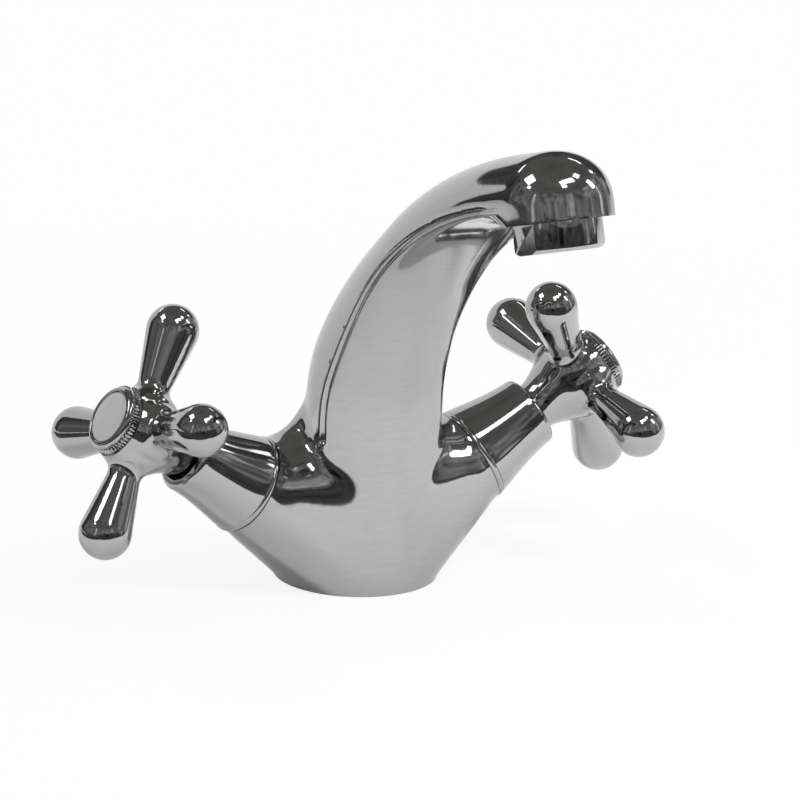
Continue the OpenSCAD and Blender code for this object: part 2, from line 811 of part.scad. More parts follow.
// Cross handle: hub with a necked back, four arms, spline socket and screw seat. The arms are
// turned about the hub, and the socket stays in line with the spindle's teeth.
module handle(turn) {
    profile = concat(
        [[0, hub_inner_s], [hub_neck_r, hub_inner_s], [hub_neck_r, sleeve_end_s + hub_neck_end]],
        [for (p = hub_back) [hub_neck_r + p[0], hub_s - p[1]]],
        [for (p = hub_belly) [hub_r - p[0], hub_s + p[1]]],
        [[cap_r, hub_front_s - hub_edge], [cap_r - hub_edge, hub_front_s], [0, hub_front_s]]
    );
    color(chrome)
    difference() {
        union() {
            rotate_extrude($fn = 96)
                polygon(profile);
            for (a = [0 : arm_step : 359])
                translate([0, 0, hub_s])
                    rotate([0, 0, turn + a])
                        arm();
        }
        // Flat front for the index cap
        translate([0, 0, hub_front_s])
            cylinder(r = hub_r, h = flare_r, $fn = 96);
        translate([0, 0, recess_s])
            cylinder(r = recess_r, h = hub_front_s - recess_s + past, $fn = 96);
        translate([0, 0, hub_inner_s - past])
            linear_extrude(spline_end_s + spline_room - hub_inner_s + past)
                polygon(spline_points(spline_r + gap, spline_depth));
        translate([0, 0, spline_end_s])
            cylinder(r = screw_r + 2 * gap, h = recess_s - spline_end_s + past, $fn = 48);
    }
}

module handle_screw() {
    shank_s = spline_end_s - screw_thread_len + screw_tip_room;
    color(steel)
    difference() {
        union() {
            translate([0, 0, shank_s])
                cylinder(r = screw_r, h = recess_s - shank_s + past, $fn = 48);
            translate([0, 0, recess_s])
                cylinder(r = screw_head_r, h = screw_head_h, $fn = 48);
        }
        translate([0, 0, recess_s + screw_head_h - screw_socket_h])
            cylinder(r = screw_socket_r, h = screw_socket_h + past, $fn = 6);
    }
}

// Index cap: threaded stem, milled edge and rounded bezel round the disc
module index_cap() {
    bezel_r = cap_r - bezel_step;
    bezel_h = cap_face_s - hub_front_s - cap_edge_h;
    face_s = cap_face_s - disc_face_h;
    bezel = concat(
        [[0, 0], [bezel_r, 0]],
        [for (a = [0 : 15 : 90])
            [bezel_r - bezel_h * (1 - cos(a)), bezel_h * sin(a)]],
        [[0, bezel_h]]
    );
    edge_points = [
        for (i = [0 : 2 * cap_teeth - 1])
            let (a = 180 * i / cap_teeth)
            (i % 2 == 0 ? cap_r : cap_r - tooth_depth) * [cos(a), sin(a)]
    ];
    color(chrome)
    difference() {
        union() {
            translate([0, 0, hub_front_s - cap_stem_h])
                cylinder(r = recess_r - fit, h = cap_stem_h + cap_edge_h / 2, $fn = 96);
            translate([0, 0, hub_front_s])
                linear_extrude(cap_edge_h)
                    polygon(edge_points);
            translate([0, 0, hub_front_s + cap_edge_h])
                rotate_extrude($fn = 96)
                    polygon(bezel);
        }
        translate([0, 0, face_s])
            cylinder(r = disc_face_r + fit, h = disc_face_h + past, $fn = 96);
        translate([0, 0, hub_front_s - cap_stem_h - past])
            cylinder(r = recess_r - cap_stem_wall, h = cap_stem_h + past + cap_roof_h, $fn = 96);
    }
}

module index_disc() {
    color(steel)
        translate([0, 0, cap_face_s - disc_face_h])
            cylinder(r = disc_face_r, h = disc_face_h - disc_face_inset, $fn = 96);
}

body();
base_gasket();
at_outlet() aerator_housing();
at_outlet() aerator_insert();
at_outlet() aerator_washer();
at_valve(left) sleeve();  // left_sleeve
at_valve(left) headwork_body();  // left_headwork_body
at_valve(left) headwork_gasket();  // left_headwork_gasket
at_valve(left) seat_seal();  // left_seat_seal
at_valve(left) fixed_disc();  // left_fixed_disc
at_valve(left) moving_disc();  // left_moving_disc
at_valve(left) spindle();  // left_spindle
at_valve(left) spindle_orings();  // left_spindle_orings
at_valve(left) spindle_clip();  // left_spindle_clip
at_valve(left) handle(left_turn);  // left_handle
at_valve(left) handle_screw();  // left_handle_screw
at_valve(left) index_cap();  // left_index_cap
at_valve(left) index_disc();  // left_index_disc
at_valve(right) sleeve();  // right_sleeve
at_valve(right) headwork_body();  // right_headwork_body
at_valve(right) headwork_gasket();  // right_headwork_gasket
at_valve(right) seat_seal();  // right_seat_seal
at_valve(right) fixed_disc();  // right_fixed_disc
at_valve(right) moving_disc();  // right_moving_disc
at_valve(right) spindle();  // right_spindle
at_valve(right) spindle_orings();  // right_spindle_orings
at_valve(right) spindle_clip();  // right_spindle_clip
at_valve(right) handle(right_turn);  // right_handle
at_valve(right) handle_screw();  // right_handle_screw
at_valve(right) index_cap();  // right_index_cap
at_valve(right) index_disc();  // right_index_disc
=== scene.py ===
"""Looks of a two-handle basin mixer tap in polished chrome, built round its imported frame.

Sizes are in millimetres until a mesh is placed, and every finished mesh is in metres.
"""
import logging
import math
from dataclasses import dataclass, field
from enum import Enum
from typing import Callable, Iterable, Sequence

import bmesh
import bpy
from mathutils import Matrix, Vector
from mathutils.bvhtree import BVHTree


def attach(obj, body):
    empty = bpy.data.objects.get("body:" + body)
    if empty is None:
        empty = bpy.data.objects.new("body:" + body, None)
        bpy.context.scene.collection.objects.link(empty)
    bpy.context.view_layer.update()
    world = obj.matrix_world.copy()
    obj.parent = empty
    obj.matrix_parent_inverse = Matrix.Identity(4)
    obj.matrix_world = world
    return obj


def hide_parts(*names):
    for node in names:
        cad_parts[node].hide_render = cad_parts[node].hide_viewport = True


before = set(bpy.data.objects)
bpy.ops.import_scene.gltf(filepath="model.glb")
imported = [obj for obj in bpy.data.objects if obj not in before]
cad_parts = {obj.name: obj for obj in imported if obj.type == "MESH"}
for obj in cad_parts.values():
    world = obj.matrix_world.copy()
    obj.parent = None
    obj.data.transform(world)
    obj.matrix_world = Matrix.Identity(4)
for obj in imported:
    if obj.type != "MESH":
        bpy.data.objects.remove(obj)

LOG = logging.getLogger("tap")
TO_METRES = Matrix.Scale(0.001, 4)
Outline = list[tuple[float, float]]
Triple = tuple[float, float, float]
Skin = bmesh.types.BMesh
Obj = bpy.types.Object
Socket = bpy.types.NodeSocket
NOISE_SPAN = (0.3, 0.7)
WHITE = (1.0, 1.0, 1.0)


class Side(Enum):
    """Which valve of the tap a piece belongs to, seen from the spout's front."""

    LEFT = -1
    RIGHT = 1

    @property
    def word(self) -> str:
        """The side's name, as the frame's nodes spell it."""
        return self.name.lower()


class Edge(Enum):
    """How the border between two faces is shaded."""

    SOFT = 70.0
    CRISP = 32.0


def eased(k: float) -> float:
    """Smooth step from 0 to 1."""
    return k * k * (3 - 2 * k)


def between(a: float, b: float, k: float) -> float:
    """Goes smoothly from a to b while k goes from 0 to 1, and stays level outside that."""
    return a + (b - a) * eased(max(0.0, min(1.0, k)))


def arc(centre: tuple[float, float], radius: float, start: float, end: float, steps: int) -> Outline:
    """Points round part of a circle, as radius and height, from one angle in degrees to another."""
    angles = [math.radians(start + (end - start) * i / steps) for i in range(steps + 1)]
    return [(centre[0] + radius * math.cos(a), centre[1] + radius * math.sin(a)) for a in angles]


def turned(outline: Outline, steps: int = 96, ring: bool = False) -> Skin:
    """Spins an outline round the Z axis, as on a lathe.

    Args:
        outline: Points as radius and height. A solid's outline starts and ends on the axis.
        steps: Number of steps round.
        ring: Whether the outline is a closed loop clear of the axis.

    Returns:
        The closed skin.
    """
    bm = bmesh.new()
    verts = [bm.verts.new((r, 0, h)) for r, h in outline]
    edges = [bm.edges.new(pair) for pair in zip(verts, verts[1:])]
    if ring:
        edges.append(bm.edges.new((verts[-1], verts[0])))
    bmesh.ops.spin(bm, geom=verts + edges, cent=(0, 0, 0), axis=(0, 0, 1), angle=math.tau,
                   steps=steps, use_merge=True, use_duplicate=False)
    bmesh.ops.remove_doubles(bm, verts=bm.verts[:], dist=1e-4)
    bmesh.ops.recalc_face_normals(bm, faces=bm.faces[:])
    return bm


def stepped(start: float, *lengths: tuple[float, float], steps: int = 96) -> Skin:
    """Turns a rod of several plain lengths, each on the last.

    Args:
        start: Height of its lower end.
        lengths: Radius of each length, and the height that it reaches.
        steps: Number of steps round.

    Returns:
        The closed skin.
    """
    outline, low = [(0.0, start)], start
    for radius, high in lengths:
        outline += [(radius, low), (radius, high)]
        low = high
    return turned(outline + [(0.0, low)], steps)


def points_in(geom: Iterable[object]) -> list[bmesh.types.BMVert]:
    """The points among what an operator gives back."""
    return [g for g in geom if isinstance(g, bmesh.types.BMVert)]


def lofted(rings: Sequence[Sequence[Vector]]) -> Skin:
    """Extrudes a closed ring from station to station and caps both ends.

    Args:
        rings: The stations, each with the same number of points.

    Returns:
        The closed skin.
    """
    bm = bmesh.new()
    ring = [bm.verts.new(p) for p in rings[0]]
    edges = [bm.edges.new((a, b)) for a, b in zip(ring, ring[1:] + ring[:1])]
    ends = list(edges)
    for station in rings[1:]:
        place = {v: p for v, p in zip(ring, station)}
        order = {v: i for i, v in enumerate(ring)}
        made = bmesh.ops.extrude_edge_only(bm, edges=edges)["geom"]
        fresh: list[bmesh.types.BMVert | None] = [None] * len(ring)
        for v in points_in(made):
            old = next(e.other_vert(v) for e in v.link_edges if e.other_vert(v) in place)
            v.co = place[old]
            fresh[order[old]] = v
        edges = [g for g in made if isinstance(g, bmesh.types.BMEdge)
                 and all(v not in place for v in g.verts)]
        ring = fresh
    bmesh.ops.holes_fill(bm, edges=ends + edges, sides=0)
    bmesh.ops.recalc_face_normals(bm, faces=bm.faces[:])
    return bm


def wrapped(bm: Skin) -> Skin:
    """Wraps a mesh's points in one tight skin, and drops those inside.

    Args:
        bm: The mesh in progress, which is changed.

    Returns:
        The same mesh.
    """
    made = bmesh.ops.convex_hull(bm, input=bm.verts[:])
    spare = set(points_in(made["geom_interior"] + made["geom_unused"]))
    bmesh.ops.delete(bm, geom=list(spare), context="VERTS")
    bmesh.ops.recalc_face_normals(bm, faces=bm.faces[:])
    return bm


def joined(parts: Iterable[Skin]) -> Skin:
    """Puts several skins into one, with nothing merged.

    Args:
        parts: The skins, which are freed.

    Returns:
        The whole.
    """
    whole = bmesh.new()
    for part in parts:
        mesh = bpy.data.meshes.new("part")
        part.to_mesh(mesh)
        part.free()
        whole.from_mesh(mesh)
        bpy.data.meshes.remove(mesh)
    return whole


def shade(mesh: bpy.types.Mesh, edge: Edge) -> None:
    """Shades a mesh smooth between its sharp edges."""
    mesh.shade_smooth()
    mesh.set_sharp_from_angle(angle=math.radians(edge.value))


def linked(name: str, data: bpy.types.ID) -> Obj:
    """Makes an object of a mesh, a lamp or a camera.

    Args:
        name: The object's name.
        data: What it holds.

    Returns:
        The object, linked to the scene.
    """
    obj = bpy.data.objects.new(name, data)
    bpy.context.scene.collection.objects.link(obj)
    return obj


def piece(bm: Skin, name: str, edge: Edge = Edge.CRISP) -> Obj:
    """Makes a smooth-shaded object of a mesh in progress and frees it.

    Args:
        bm: The mesh in progress.
        name: The object's name.
        edge: Which edges stay sharp.

    Returns:
        The object, linked to the scene.
    """
    mesh = bpy.data.meshes.new(name)
    bm.to_mesh(mesh)
    bm.free()
    shade(mesh, edge)
    return linked(name, mesh)


def settle(obj: Obj, edge: Edge = Edge.CRISP) -> None:
    """Applies an object's modifiers to its mesh.

    Args:
        obj: The object.
        edge: Which edges stay sharp afterwards.
    """
    bpy.context.view_layer.update()
    graph = bpy.context.evaluated_depsgraph_get()
    mesh = bpy.data.meshes.new_from_object(obj.evaluated_get(graph))
    old = obj.data
    obj.modifiers.clear()
    obj.data = mesh
    bpy.data.meshes.remove(old)
    shade(mesh, edge)


@dataclass
class Welder:
    """Welds overlapping skins into one casting with soft blends where they meet."""

    voxel: float
    blend_reach: float
    blend_rounds: int
    polish_rounds: int
    pull: float = 0.5
    least_weight: float = 0.01

    def weld(self, skins: Sequence[Skin], name: str,
             adjust: Callable[[Vector, float], float] = lambda place, weight: weight) -> Obj:
        """Welds the skins into one object.

        Args:
            skins: The overlapping closed skins, in millimetres.
            name: The object's name.
            adjust: Turns a place and its blend's weight into the weight to use there.

        Returns:
            The welded object, still in millimetres.
        """
        trees = [BVHTree.FromBMesh(s) for s in skins]
        obj = piece(joined(skins), name, Edge.SOFT)
        weld = obj.modifiers.new("Weld", "REMESH")
        weld.mode = "VOXEL"
        weld.voxel_size = self.voxel
        weld.use_smooth_shade = True
        settle(obj, Edge.SOFT)
        seam = obj.vertex_groups.new(name="seam")
        for v in obj.data.vertices:
            second = sorted(tree.find_nearest(v.co)[3] for tree in trees)[1]
            weight = adjust(v.co, eased(max(0.0, 1 - second / self.blend_reach)))
            if weight > self.least_weight:
                seam.add([v.index], weight, "REPLACE")
        for rounds, group in ((self.blend_rounds, seam.name), (self.polish_rounds, "")):
            smooth = obj.modifiers.new("Smooth", "SMOOTH")
            smooth.factor = self.pull
            smooth.iterations = rounds
            smooth.vertex_group = group
        settle(obj, Edge.SOFT)
        return obj


def carve(obj: Obj, cutters: Sequence[Skin]) -> None:
    """Cuts solids that don't touch each other out of an object.

    Args:
        obj: The object to cut.
        cutters: The closed skins to cut away.
    """
    tool = piece(joined(cutters), obj.name + "_tool")
    cut = obj.modifiers.new("Cut", "BOOLEAN")
    cut.operation = "DIFFERENCE"
    cut.solver = "EXACT"
    cut.object = tool
    settle(obj)
    bpy.data.objects.remove(tool)


class Nodes:
    """A short way to write a node tree."""

    def __init__(self, tree: bpy.types.NodeTree) -> None:
        """Starts from an emptied tree."""
        self.tree = tree
        self.tree.nodes.clear()

    def add(self, kind: str, **settings: object) -> bpy.types.Node:
        """Adds a node.

        Args:
            kind: The node's type, without its prefix.
            settings: Values for its properties.

        Returns:
            The node.
        """
        node = self.tree.nodes.new("ShaderNode" + kind)
        for key, value in settings.items():
            setattr(node, key, value)
        return node

    def link(self, source: Socket, target: Socket) -> None:
        """Links an output to an input."""
        self.tree.links.new(source, target)

    def noise(self, scale: float, detail: float = 2.0, stretch: Vector | None = None) -> Socket:
        """Adds a noise on object coordinates.

        Args:
            scale: Size of the pattern, in repeats a metre.
            detail: Octaves of the noise.
            stretch: Scale along each axis, or None for even.

        Returns:
            The noise's value.
        """
        place = self.add("TexCoord").outputs["Object"]
        if stretch is not None:
            mapping = self.add("Mapping")
            mapping.inputs["Scale"].default_value = stretch
            self.link(place, mapping.inputs["Vector"])
            place = mapping.outputs["Vector"]
        noise = self.add("TexNoise")
        noise.inputs["Scale"].default_value = scale
        noise.inputs["Detail"].default_value = detail
        self.link(place, noise.inputs["Vector"])
        return noise.outputs["Fac"]

    def ranged(self, value: Socket, low: float, high: float,
               span: tuple[float, float] = NOISE_SPAN) -> Socket:
        """Spreads a value's span, or else a noise's middle range, over low to high.

        Args:
            value: The value.
            low: The result at the span's low end.
            high: The result at its high end.
            span: The part of the value's range that counts.

        Returns:
            The result.
        """
        node = self.add("MapRange")
        for key, number in zip(("From Min", "From Max", "To Min", "To Max"), (*span, low, high)):
            node.inputs[key].default_value = number
        self.link(value, node.inputs["Value"])
        return node.outputs["Result"]

    def math(self, operation: str, *terms: Socket | float) -> Socket:
        """Adds a sum.

        Args:
            operation: What is done with the terms.
            terms: Sockets or plain numbers.

        Returns:
            The result.
        """
        node = self.add("Math", operation=operation)
        for place, term in zip(node.inputs, terms):
            if isinstance(term, float):
                place.default_value = term
            else:
                self.link(term, place)
        return node.outputs[0]

    def mixed(self, share: Socket, first: bpy.types.Node, second: bpy.types.Node,
              output: str = "OutputMaterial") -> None:
        """Ends the tree in a mix of two shaders.

        Args:
            share: The second shader's share.
            first: The first shader.
            second: The second shader.
            output: Kind of the tree's last node.
        """
        mix = self.add("MixShader")
        for source, target in zip((share, first.outputs[0], second.outputs[0]), mix.inputs):
            self.link(source, target)
        self.link(mix.outputs[0], self.add(output).inputs["Surface"])


def new_material(name: str) -> tuple[bpy.types.Material, Nodes]:
    """Makes a material with an empty tree.

    Args:
        name: The material's name.

    Returns:
        The material and its tree.
    """
    material = bpy.data.materials.new(name)
    material.use_nodes = True
    return material, Nodes(material.node_tree)


@dataclass(frozen=True)
class Finish:
    """A finish with its own speckle of roughness, tint and relief."""

    name: str
    slot: str
    colour: Triple
    metallic: float
    roughness: tuple[float, float]
    grain: float
    relief: float
    relief_scale: float
    tint: float = 0.0
    stretch: Triple = (1.0, 1.0, 1.0)

    def material(self) -> bpy.types.Material:
        """The finish's material, made the first time it is asked for."""
        found = bpy.data.materials.get(self.name)
        if found is not None:
            return found
        material, nodes = new_material(self.name)
        material.diffuse_color = (*self.colour, 1.0)
        shader = nodes.add("BsdfPrincipled")
        out = nodes.add("OutputMaterial")
        nodes.link(shader.outputs["BSDF"], out.inputs["Surface"])
        shader.inputs["Metallic"].default_value = self.metallic
        shader.inputs["Base Color"].default_value = (*self.colour, 1.0)
        stretch = Vector(self.stretch)
        grain = nodes.noise(self.grain, 4.0, stretch)
        nodes.link(nodes.ranged(grain, *self.roughness), shader.inputs["Roughness"])
        if self.tint > 0:
            ramp = nodes.add("ValToRGB")
            for stop, position, share in zip(ramp.color_ramp.elements, NOISE_SPAN, (1 - self.tint, 1)):
                stop.position = position
                stop.color = (*(c * share for c in self.colour), 1)
            nodes.link(nodes.noise(self.grain / 3, 3.0, stretch), ramp.inputs["Fac"])
            nodes.link(ramp.outputs["Color"], shader.inputs["Base Color"])
        bump = nodes.add("Bump")
        bump.inputs["Strength"].default_value = 1.0
        bump.inputs["Distance"].default_value = self.relief
        nodes.link(nodes.noise(self.relief_scale, 2.0, stretch), bump.inputs["Height"])
        nodes.link(bump.outputs["Normal"], shader.inputs["Normal"])
        return material

    def dress(self, obj: Obj) -> None:
        """Puts the finish on a piece.

        Args:
            obj: The piece.
        """
        obj.data.materials.clear()
        obj.data.materials.append(self.material())


CAST_CHROME = Finish("polished_cast_chrome", "chrome", (0.45, 0.45, 0.45), 1.0, (0.05, 0.1), 300.0,
                     0.00002, 70.0)
BODY_CHROME = Finish("polished_body_chrome", "chrome", (0.46, 0.46, 0.46), 1.0, (0.05, 0.1), 2400.0,
                     0.00002, 70.0, 0.07, (0.1, 1.0, 1.0))
TURNED_CHROME = Finish("polished_turned_chrome", "chrome", (0.45, 0.45, 0.45), 1.0, (0.05, 0.09), 600.0,
                       0.000004, 400.0)
SATIN_DISC = Finish("satin_index_disc", "index_metal", (0.74, 0.74, 0.74), 0.3, (0.28, 0.38), 1500.0,
                    0.000001, 2500.0, 0.03)
BRASS = Finish("turned_brass", "raw_brass", (0.72, 0.55, 0.27), 1.0, (0.2, 0.35), 900.0, 0.00001, 3000.0,
               0.15)
STEEL = Finish("stainless_steel", "steel", (0.56, 0.56, 0.57), 1.0, (0.22, 0.38), 1200.0, 0.00001, 3500.0,
               0.1)
RUBBER = Finish("black_rubber", "rubber", (0.035, 0.035, 0.038), 0.0, (0.55, 0.75), 900.0, 0.00003,
                2500.0, 0.3)
CERAMIC = Finish("lapped_ceramic", "ceramic", (0.86, 0.84, 0.78), 0.0, (0.12, 0.22), 700.0, 0.000004,
                 2000.0, 0.04)
FILTER = Finish("moulded_filter_plastic", "filter_plastic", (0.78, 0.79, 0.8), 0.0, (0.35, 0.5), 900.0,
                0.00001, 1800.0, 0.05)


@dataclass(frozen=True)
class ValveAxis:
    """The line that a valve's pieces turn round, outwards from above the foot's middle."""

    side: Side
    root_h: float = 10.0
    rise: float = 30.0

    def place(self) -> Matrix:
        """From a valve's own frame, +Z outwards, to the tap's frame."""
        lean = Matrix.Rotation(math.radians(self.side.value * (90 - self.rise)), 4, "Y")
        return Matrix.Translation((0, 0, self.root_h)) @ lean


@dataclass(frozen=True)
class SeamPlace:
    """A station on the seam between the neck's back rib and its front web."""

    point: Vector
    lean: float
    along: float


@dataclass
class Neck:
    """The swan neck: a half-oval rib behind the seam, a groove, and a bowed web in front."""

    reach: float = 110.7
    outlet_h: float = 136.0
    outlet_tilt: float = 17.8
    straight_len: float = 14.6
    front_bend_r: float = 145.0
    front_lean: float = 52.5
    middle_bend_r: float = 114.0
    lower_lean: float = 22.0
    lower_bend_r: float = 37.0
    half_widths: tuple[float, float, float] = (20.3, 18.8, 16.4)
    rib_depths: tuple[float, float, float] = (26.7, 15.3, 14.3)
    web_bows: tuple[float, float, float] = (6.0, 4.3, 1.0)
    groove_widths: tuple[float, float] = (3.3, 2.2)
    groove_depth_share: float = 0.4
    groove_radius_share: float = 0.54
    groove_below: float = 5.5
    groove_stand: float = 0.05
    groove_beyond: tuple[float, ...] = (0, 4, 8, 11)
    groove_fade: float = 12.0
    edge_inset: float = 1.1
    skirt_h: float = 5.5
    skirt_pace: float = 1.15
    shoulder_len: float = 38.0
    taper_start: float = 60.0
    rib_len: float = 68.0
    web_len: float = 56.0
    web_end: float = 116.0
    flank_r: float = 24.1
    flank_h: float = 0.4
    side_arc: float = 22.5
    throat_d: float = 4.0
    tip_share: float = 0.985
    below: float = 2.0
    skirt_below: float = 2.0
    rib_steps: int = 64
    side_steps: int = 6
    web_steps: int = 40
    root_steps: int = 20
    groove_sides: int = 20
    tip_step: int = 4
    cap_angles: tuple[int, ...] = (75, 60, 45, 30, 15)
    bend_steps: tuple[int, int, int] = (12, 36, 30)
    straight_shares: tuple[float, ...] = (0, 0.1, 0.2, 0.3, 0.4, 0.5, 0.6, 0.7, 0.8, 0.855, 0.875, 0.94, 1.0)

    @property
    def nose_lean(self) -> float:
        """The neck's lean at the nose, in degrees."""
        return 90 - self.outlet_tilt

    def nose_ways(self) -> tuple[Vector, Vector]:
        """The nose's ways forwards and up, as y and z."""
        tilt = math.radians(self.outlet_tilt)
        return Vector((-math.cos(tilt), math.sin(tilt))), Vector((math.sin(tilt), math.cos(tilt)))

    def bend(self, start: Vector, from_lean: float, lean: float, radius: float) -> Vector:
        """The point, as y and z, where a bend from one lean in degrees reaches another."""
        a, b = math.radians(from_lean), math.radians(lean)
        return start + radius * Vector((math.cos(b) - math.cos(a), math.sin(b) - math.sin(a)))

    def seam(self) -> tuple[list[SeamPlace], Vector, Vector, float]:
        """Works out the seam from the nose back down to its root.

        Returns:
            The stations up the neck, the start of the straight end, the nose's middle and the
            seam's length round the bends.
        """
        forward, up = self.nose_ways()
        nose = Vector((-self.reach, self.outlet_h)) + self.skirt_h * up
        front = nose - self.straight_len * forward
        middle = self.bend(front, self.nose_lean, self.front_lean, self.front_bend_r)
        lower = self.bend(middle, self.front_lean, self.lower_lean, self.middle_bend_r)
        root = self.bend(lower, self.lower_lean, 0, self.lower_bend_r)
        places: list[SeamPlace] = []
        along = 0.0
        bends = zip((root, lower, middle), (0.0, self.lower_lean, self.front_lean),
                    (self.lower_lean, self.front_lean, self.nose_lean),
                    (self.lower_bend_r, self.middle_bend_r, self.front_bend_r), self.bend_steps)
        for start, lean0, lean1, radius, steps in bends:
            for i in range(steps):
                lean = lean0 + (lean1 - lean0) * i / steps
                places.append(SeamPlace(self.bend(start, lean0, lean, radius), lean,
                                        along + radius * math.radians(lean - lean0)))
            along += radius * math.radians(lean1 - lean0)
        return places, front, nose, along

    def section(self, half_w: float, rib: float, bow: float, inset: float, drop: float) -> list[Vector]:
        """A section of the neck, from the rib's right end round to the right side.

        Args:
            half_w: Half width at the seam.
            rib: Depth of the rib.
            bow: Bow of the web.
            inset: How far the web's edge stands in from the rib's.
            drop: Height of the side between rib and web, or of the skirt.

        Returns:
            Points as across and backwards.
        """
        rib_part = [Vector((half_w * math.cos(a), rib * math.sin(a)))
                    for a in (math.pi * i / self.rib_steps for i in range(self.rib_steps + 1))]
        left = [(half_w - inset * eased(t), -drop * t)
                for t in (i / self.side_steps for i in range(1, self.side_steps))]
        edge = half_w - inset
        web = [Vector((edge * t, -drop - bow * (1 - t * t)))
               for t in (2 * i / self.web_steps - 1 for i in range(self.web_steps + 1))]
        return (rib_part + [Vector((-x, y)) for x, y in left] + web
                + [Vector((x, y)) for x, y in reversed(left)])

    def foot_angles(self) -> list[float]:
        """Where on the foot's circle each point of a section starts, in degrees."""
        rib = [180 * i / self.rib_steps for i in range(self.rib_steps + 1)]
        left = [180 + self.side_arc * i / self.side_steps for i in range(1, self.side_steps)]
        web = [180 + self.side_arc + (180 - 2 * self.side_arc) * i / self.web_steps
               for i in range(self.web_steps + 1)]
        return rib + left + web + [360 - a + 180 for a in reversed(left)]

    def at(self, along: float, neck_len: float) -> tuple[float, float, float, float]:
        """Sizes of the section at a distance up the seam.

        Args:
            along: The distance from the root.
            neck_len: The seam's whole length.

        Returns:
            Half width, rib depth, web bow and groove width.
        """
        w, r, b, g = self.half_widths, self.rib_depths, self.web_bows, self.groove_widths
        narrowing = max(0.0, along - self.taper_start) / (neck_len + self.straight_len - self.taper_start)
        half_w = between(w[0], w[1], along / self.shoulder_len) + (w[2] - w[1]) * narrowing ** 2
        rib, bow = (between(v[0], v[1], along / turn) if along < turn
                    else between(v[1], v[2], (along - turn) / (end - turn))
                    for v, turn, end in ((r, self.rib_len, neck_len), (b, self.web_len, self.web_end)))
        return half_w, rib, bow, between(g[0], g[1], along / self.rib_len)

    def placed(self, points: Sequence[Vector], seam: Vector, lean: float) -> list[Vector]:
        """Sets a section's points on the seam, with the neck leaning forwards by some degrees."""
        c, s = math.cos(math.radians(lean)), math.sin(math.radians(lean))
        return [Vector((p[0], seam[0] + p[1] * c, seam[1] + p[1] * s)) for p in points]

    def skin(self) -> Skin:
        """The neck's closed skin, a little longer at the foot and the outlet than the neck is."""
        places, front, nose, neck_len = self.seam()
        forward = self.nose_ways()[0]
        root = places[0].point
        circle = [Vector((self.flank_r * math.cos(a), self.flank_r * math.sin(a), 0))
                  for a in (math.radians(d) for d in self.foot_angles())]

        def section_at(along: float) -> list[Vector]:
            """The section at a distance up the seam."""
            half_w, rib, bow, groove_w = self.at(along, neck_len)
            return self.section(half_w, rib, bow, self.edge_inset, groove_w)

        rings = [[p + Vector((0, 0, -self.below)) for p in circle]]
        for i in range(self.root_steps):
            k = i / self.root_steps
            h = self.flank_h + k * (root[1] - self.flank_h)
            neck = self.placed(section_at(0), Vector((root[0], h)), 0)
            rings.append([(p + Vector((0, 0, h))).lerp(q, eased(k)) for p, q in zip(circle, neck)])
        rings += [self.placed(section_at(p.along), p.point, p.lean) for p in places]
        w, rib = self.half_widths[2], self.rib_depths[2]
        for k in self.straight_shares:
            down = self.skirt_pace * k
            more = self.skirt_below if down > 1 else 0.0
            half_w = self.at(neck_len + k * self.straight_len, neck_len)[0]
            ring = self.section(half_w, rib, between(self.web_bows[2], 0, down),
                                between(self.edge_inset, 0, down),
                                between(self.groove_widths[1], self.skirt_h, down) + more)
            rings.append(self.placed(ring, front + k * self.straight_len * forward, self.nose_lean))
        for step in range(self.tip_step, 90, self.tip_step):
            a = math.radians(step)
            ring = self.section(w * math.cos(a), rib * math.cos(a), 0, 0,
                                self.skirt_h + self.skirt_below)
            rings.append(self.placed(ring, nose + self.tip_share * w * math.sin(a) * forward,
                                     self.nose_lean))
        return lofted(rings)

    def throat(self) -> Vector:
        """Where the web turns forwards under the nose, as y and z."""
        forward, up = self.nose_ways()
        return self.seam()[1] - self.throat_d * up + self.throat_d * Vector((forward[0], 0))

    def groove(self, side: Side) -> Skin:
        """The round-ended tool that cuts the groove along the seam.

        Args:
            side: Which side of the neck.

        Returns:
            Its closed skin.
        """
        places, front, _nose, neck_len = self.seam()
        forward = self.nose_ways()[0]
        stations = [SeamPlace(places[0].point - Vector((0, d)), 0, -d)
                    for d in (self.groove_below, self.groove_below / 2)]
        stations += places
        stations += [SeamPlace(front + d * forward, self.nose_lean, neck_len + d)
                     for d in self.groove_beyond]

        def ring(place: SeamPlace, share: float, ahead: float) -> list[Vector]:
            """One ring of the tool.

            Args:
                place: The station it belongs to.
                share: Its radius as a share of the groove's.
                ahead: How far it stands up the seam, in the same share.

            Returns:
                Its points.
            """
            half_w, _rib, _bow, width = self.at(max(0.0, place.along), neck_len)
            radius = self.groove_radius_share * width
            fade = 1 - eased(max(0.0, min(1.0, (place.along - neck_len) / self.groove_fade)))
            middle = Vector((side.value * (half_w - self.edge_inset / 2 + self.groove_stand
                                           + radius * (1 - fade)), -self.groove_depth_share * width))
            points = [middle + radius * share * Vector((math.cos(a), math.sin(a)))
                      for a in (math.tau * i / self.groove_sides for i in range(self.groove_sides))]
            lean = math.radians(place.lean)
            step = ahead * radius * Vector((-math.sin(lean), math.cos(lean)))
            return self.placed(points, place.point + step, place.lean)

        caps = [math.radians(a) for a in self.cap_angles]
        rings = [ring(stations[0], math.cos(a), -math.sin(a)) for a in caps]
        rings += [ring(p, 1, 0) for p in stations]
        rings += [ring(stations[-1], math.cos(a), math.sin(a)) for a in reversed(caps)]
        return lofted(rings)


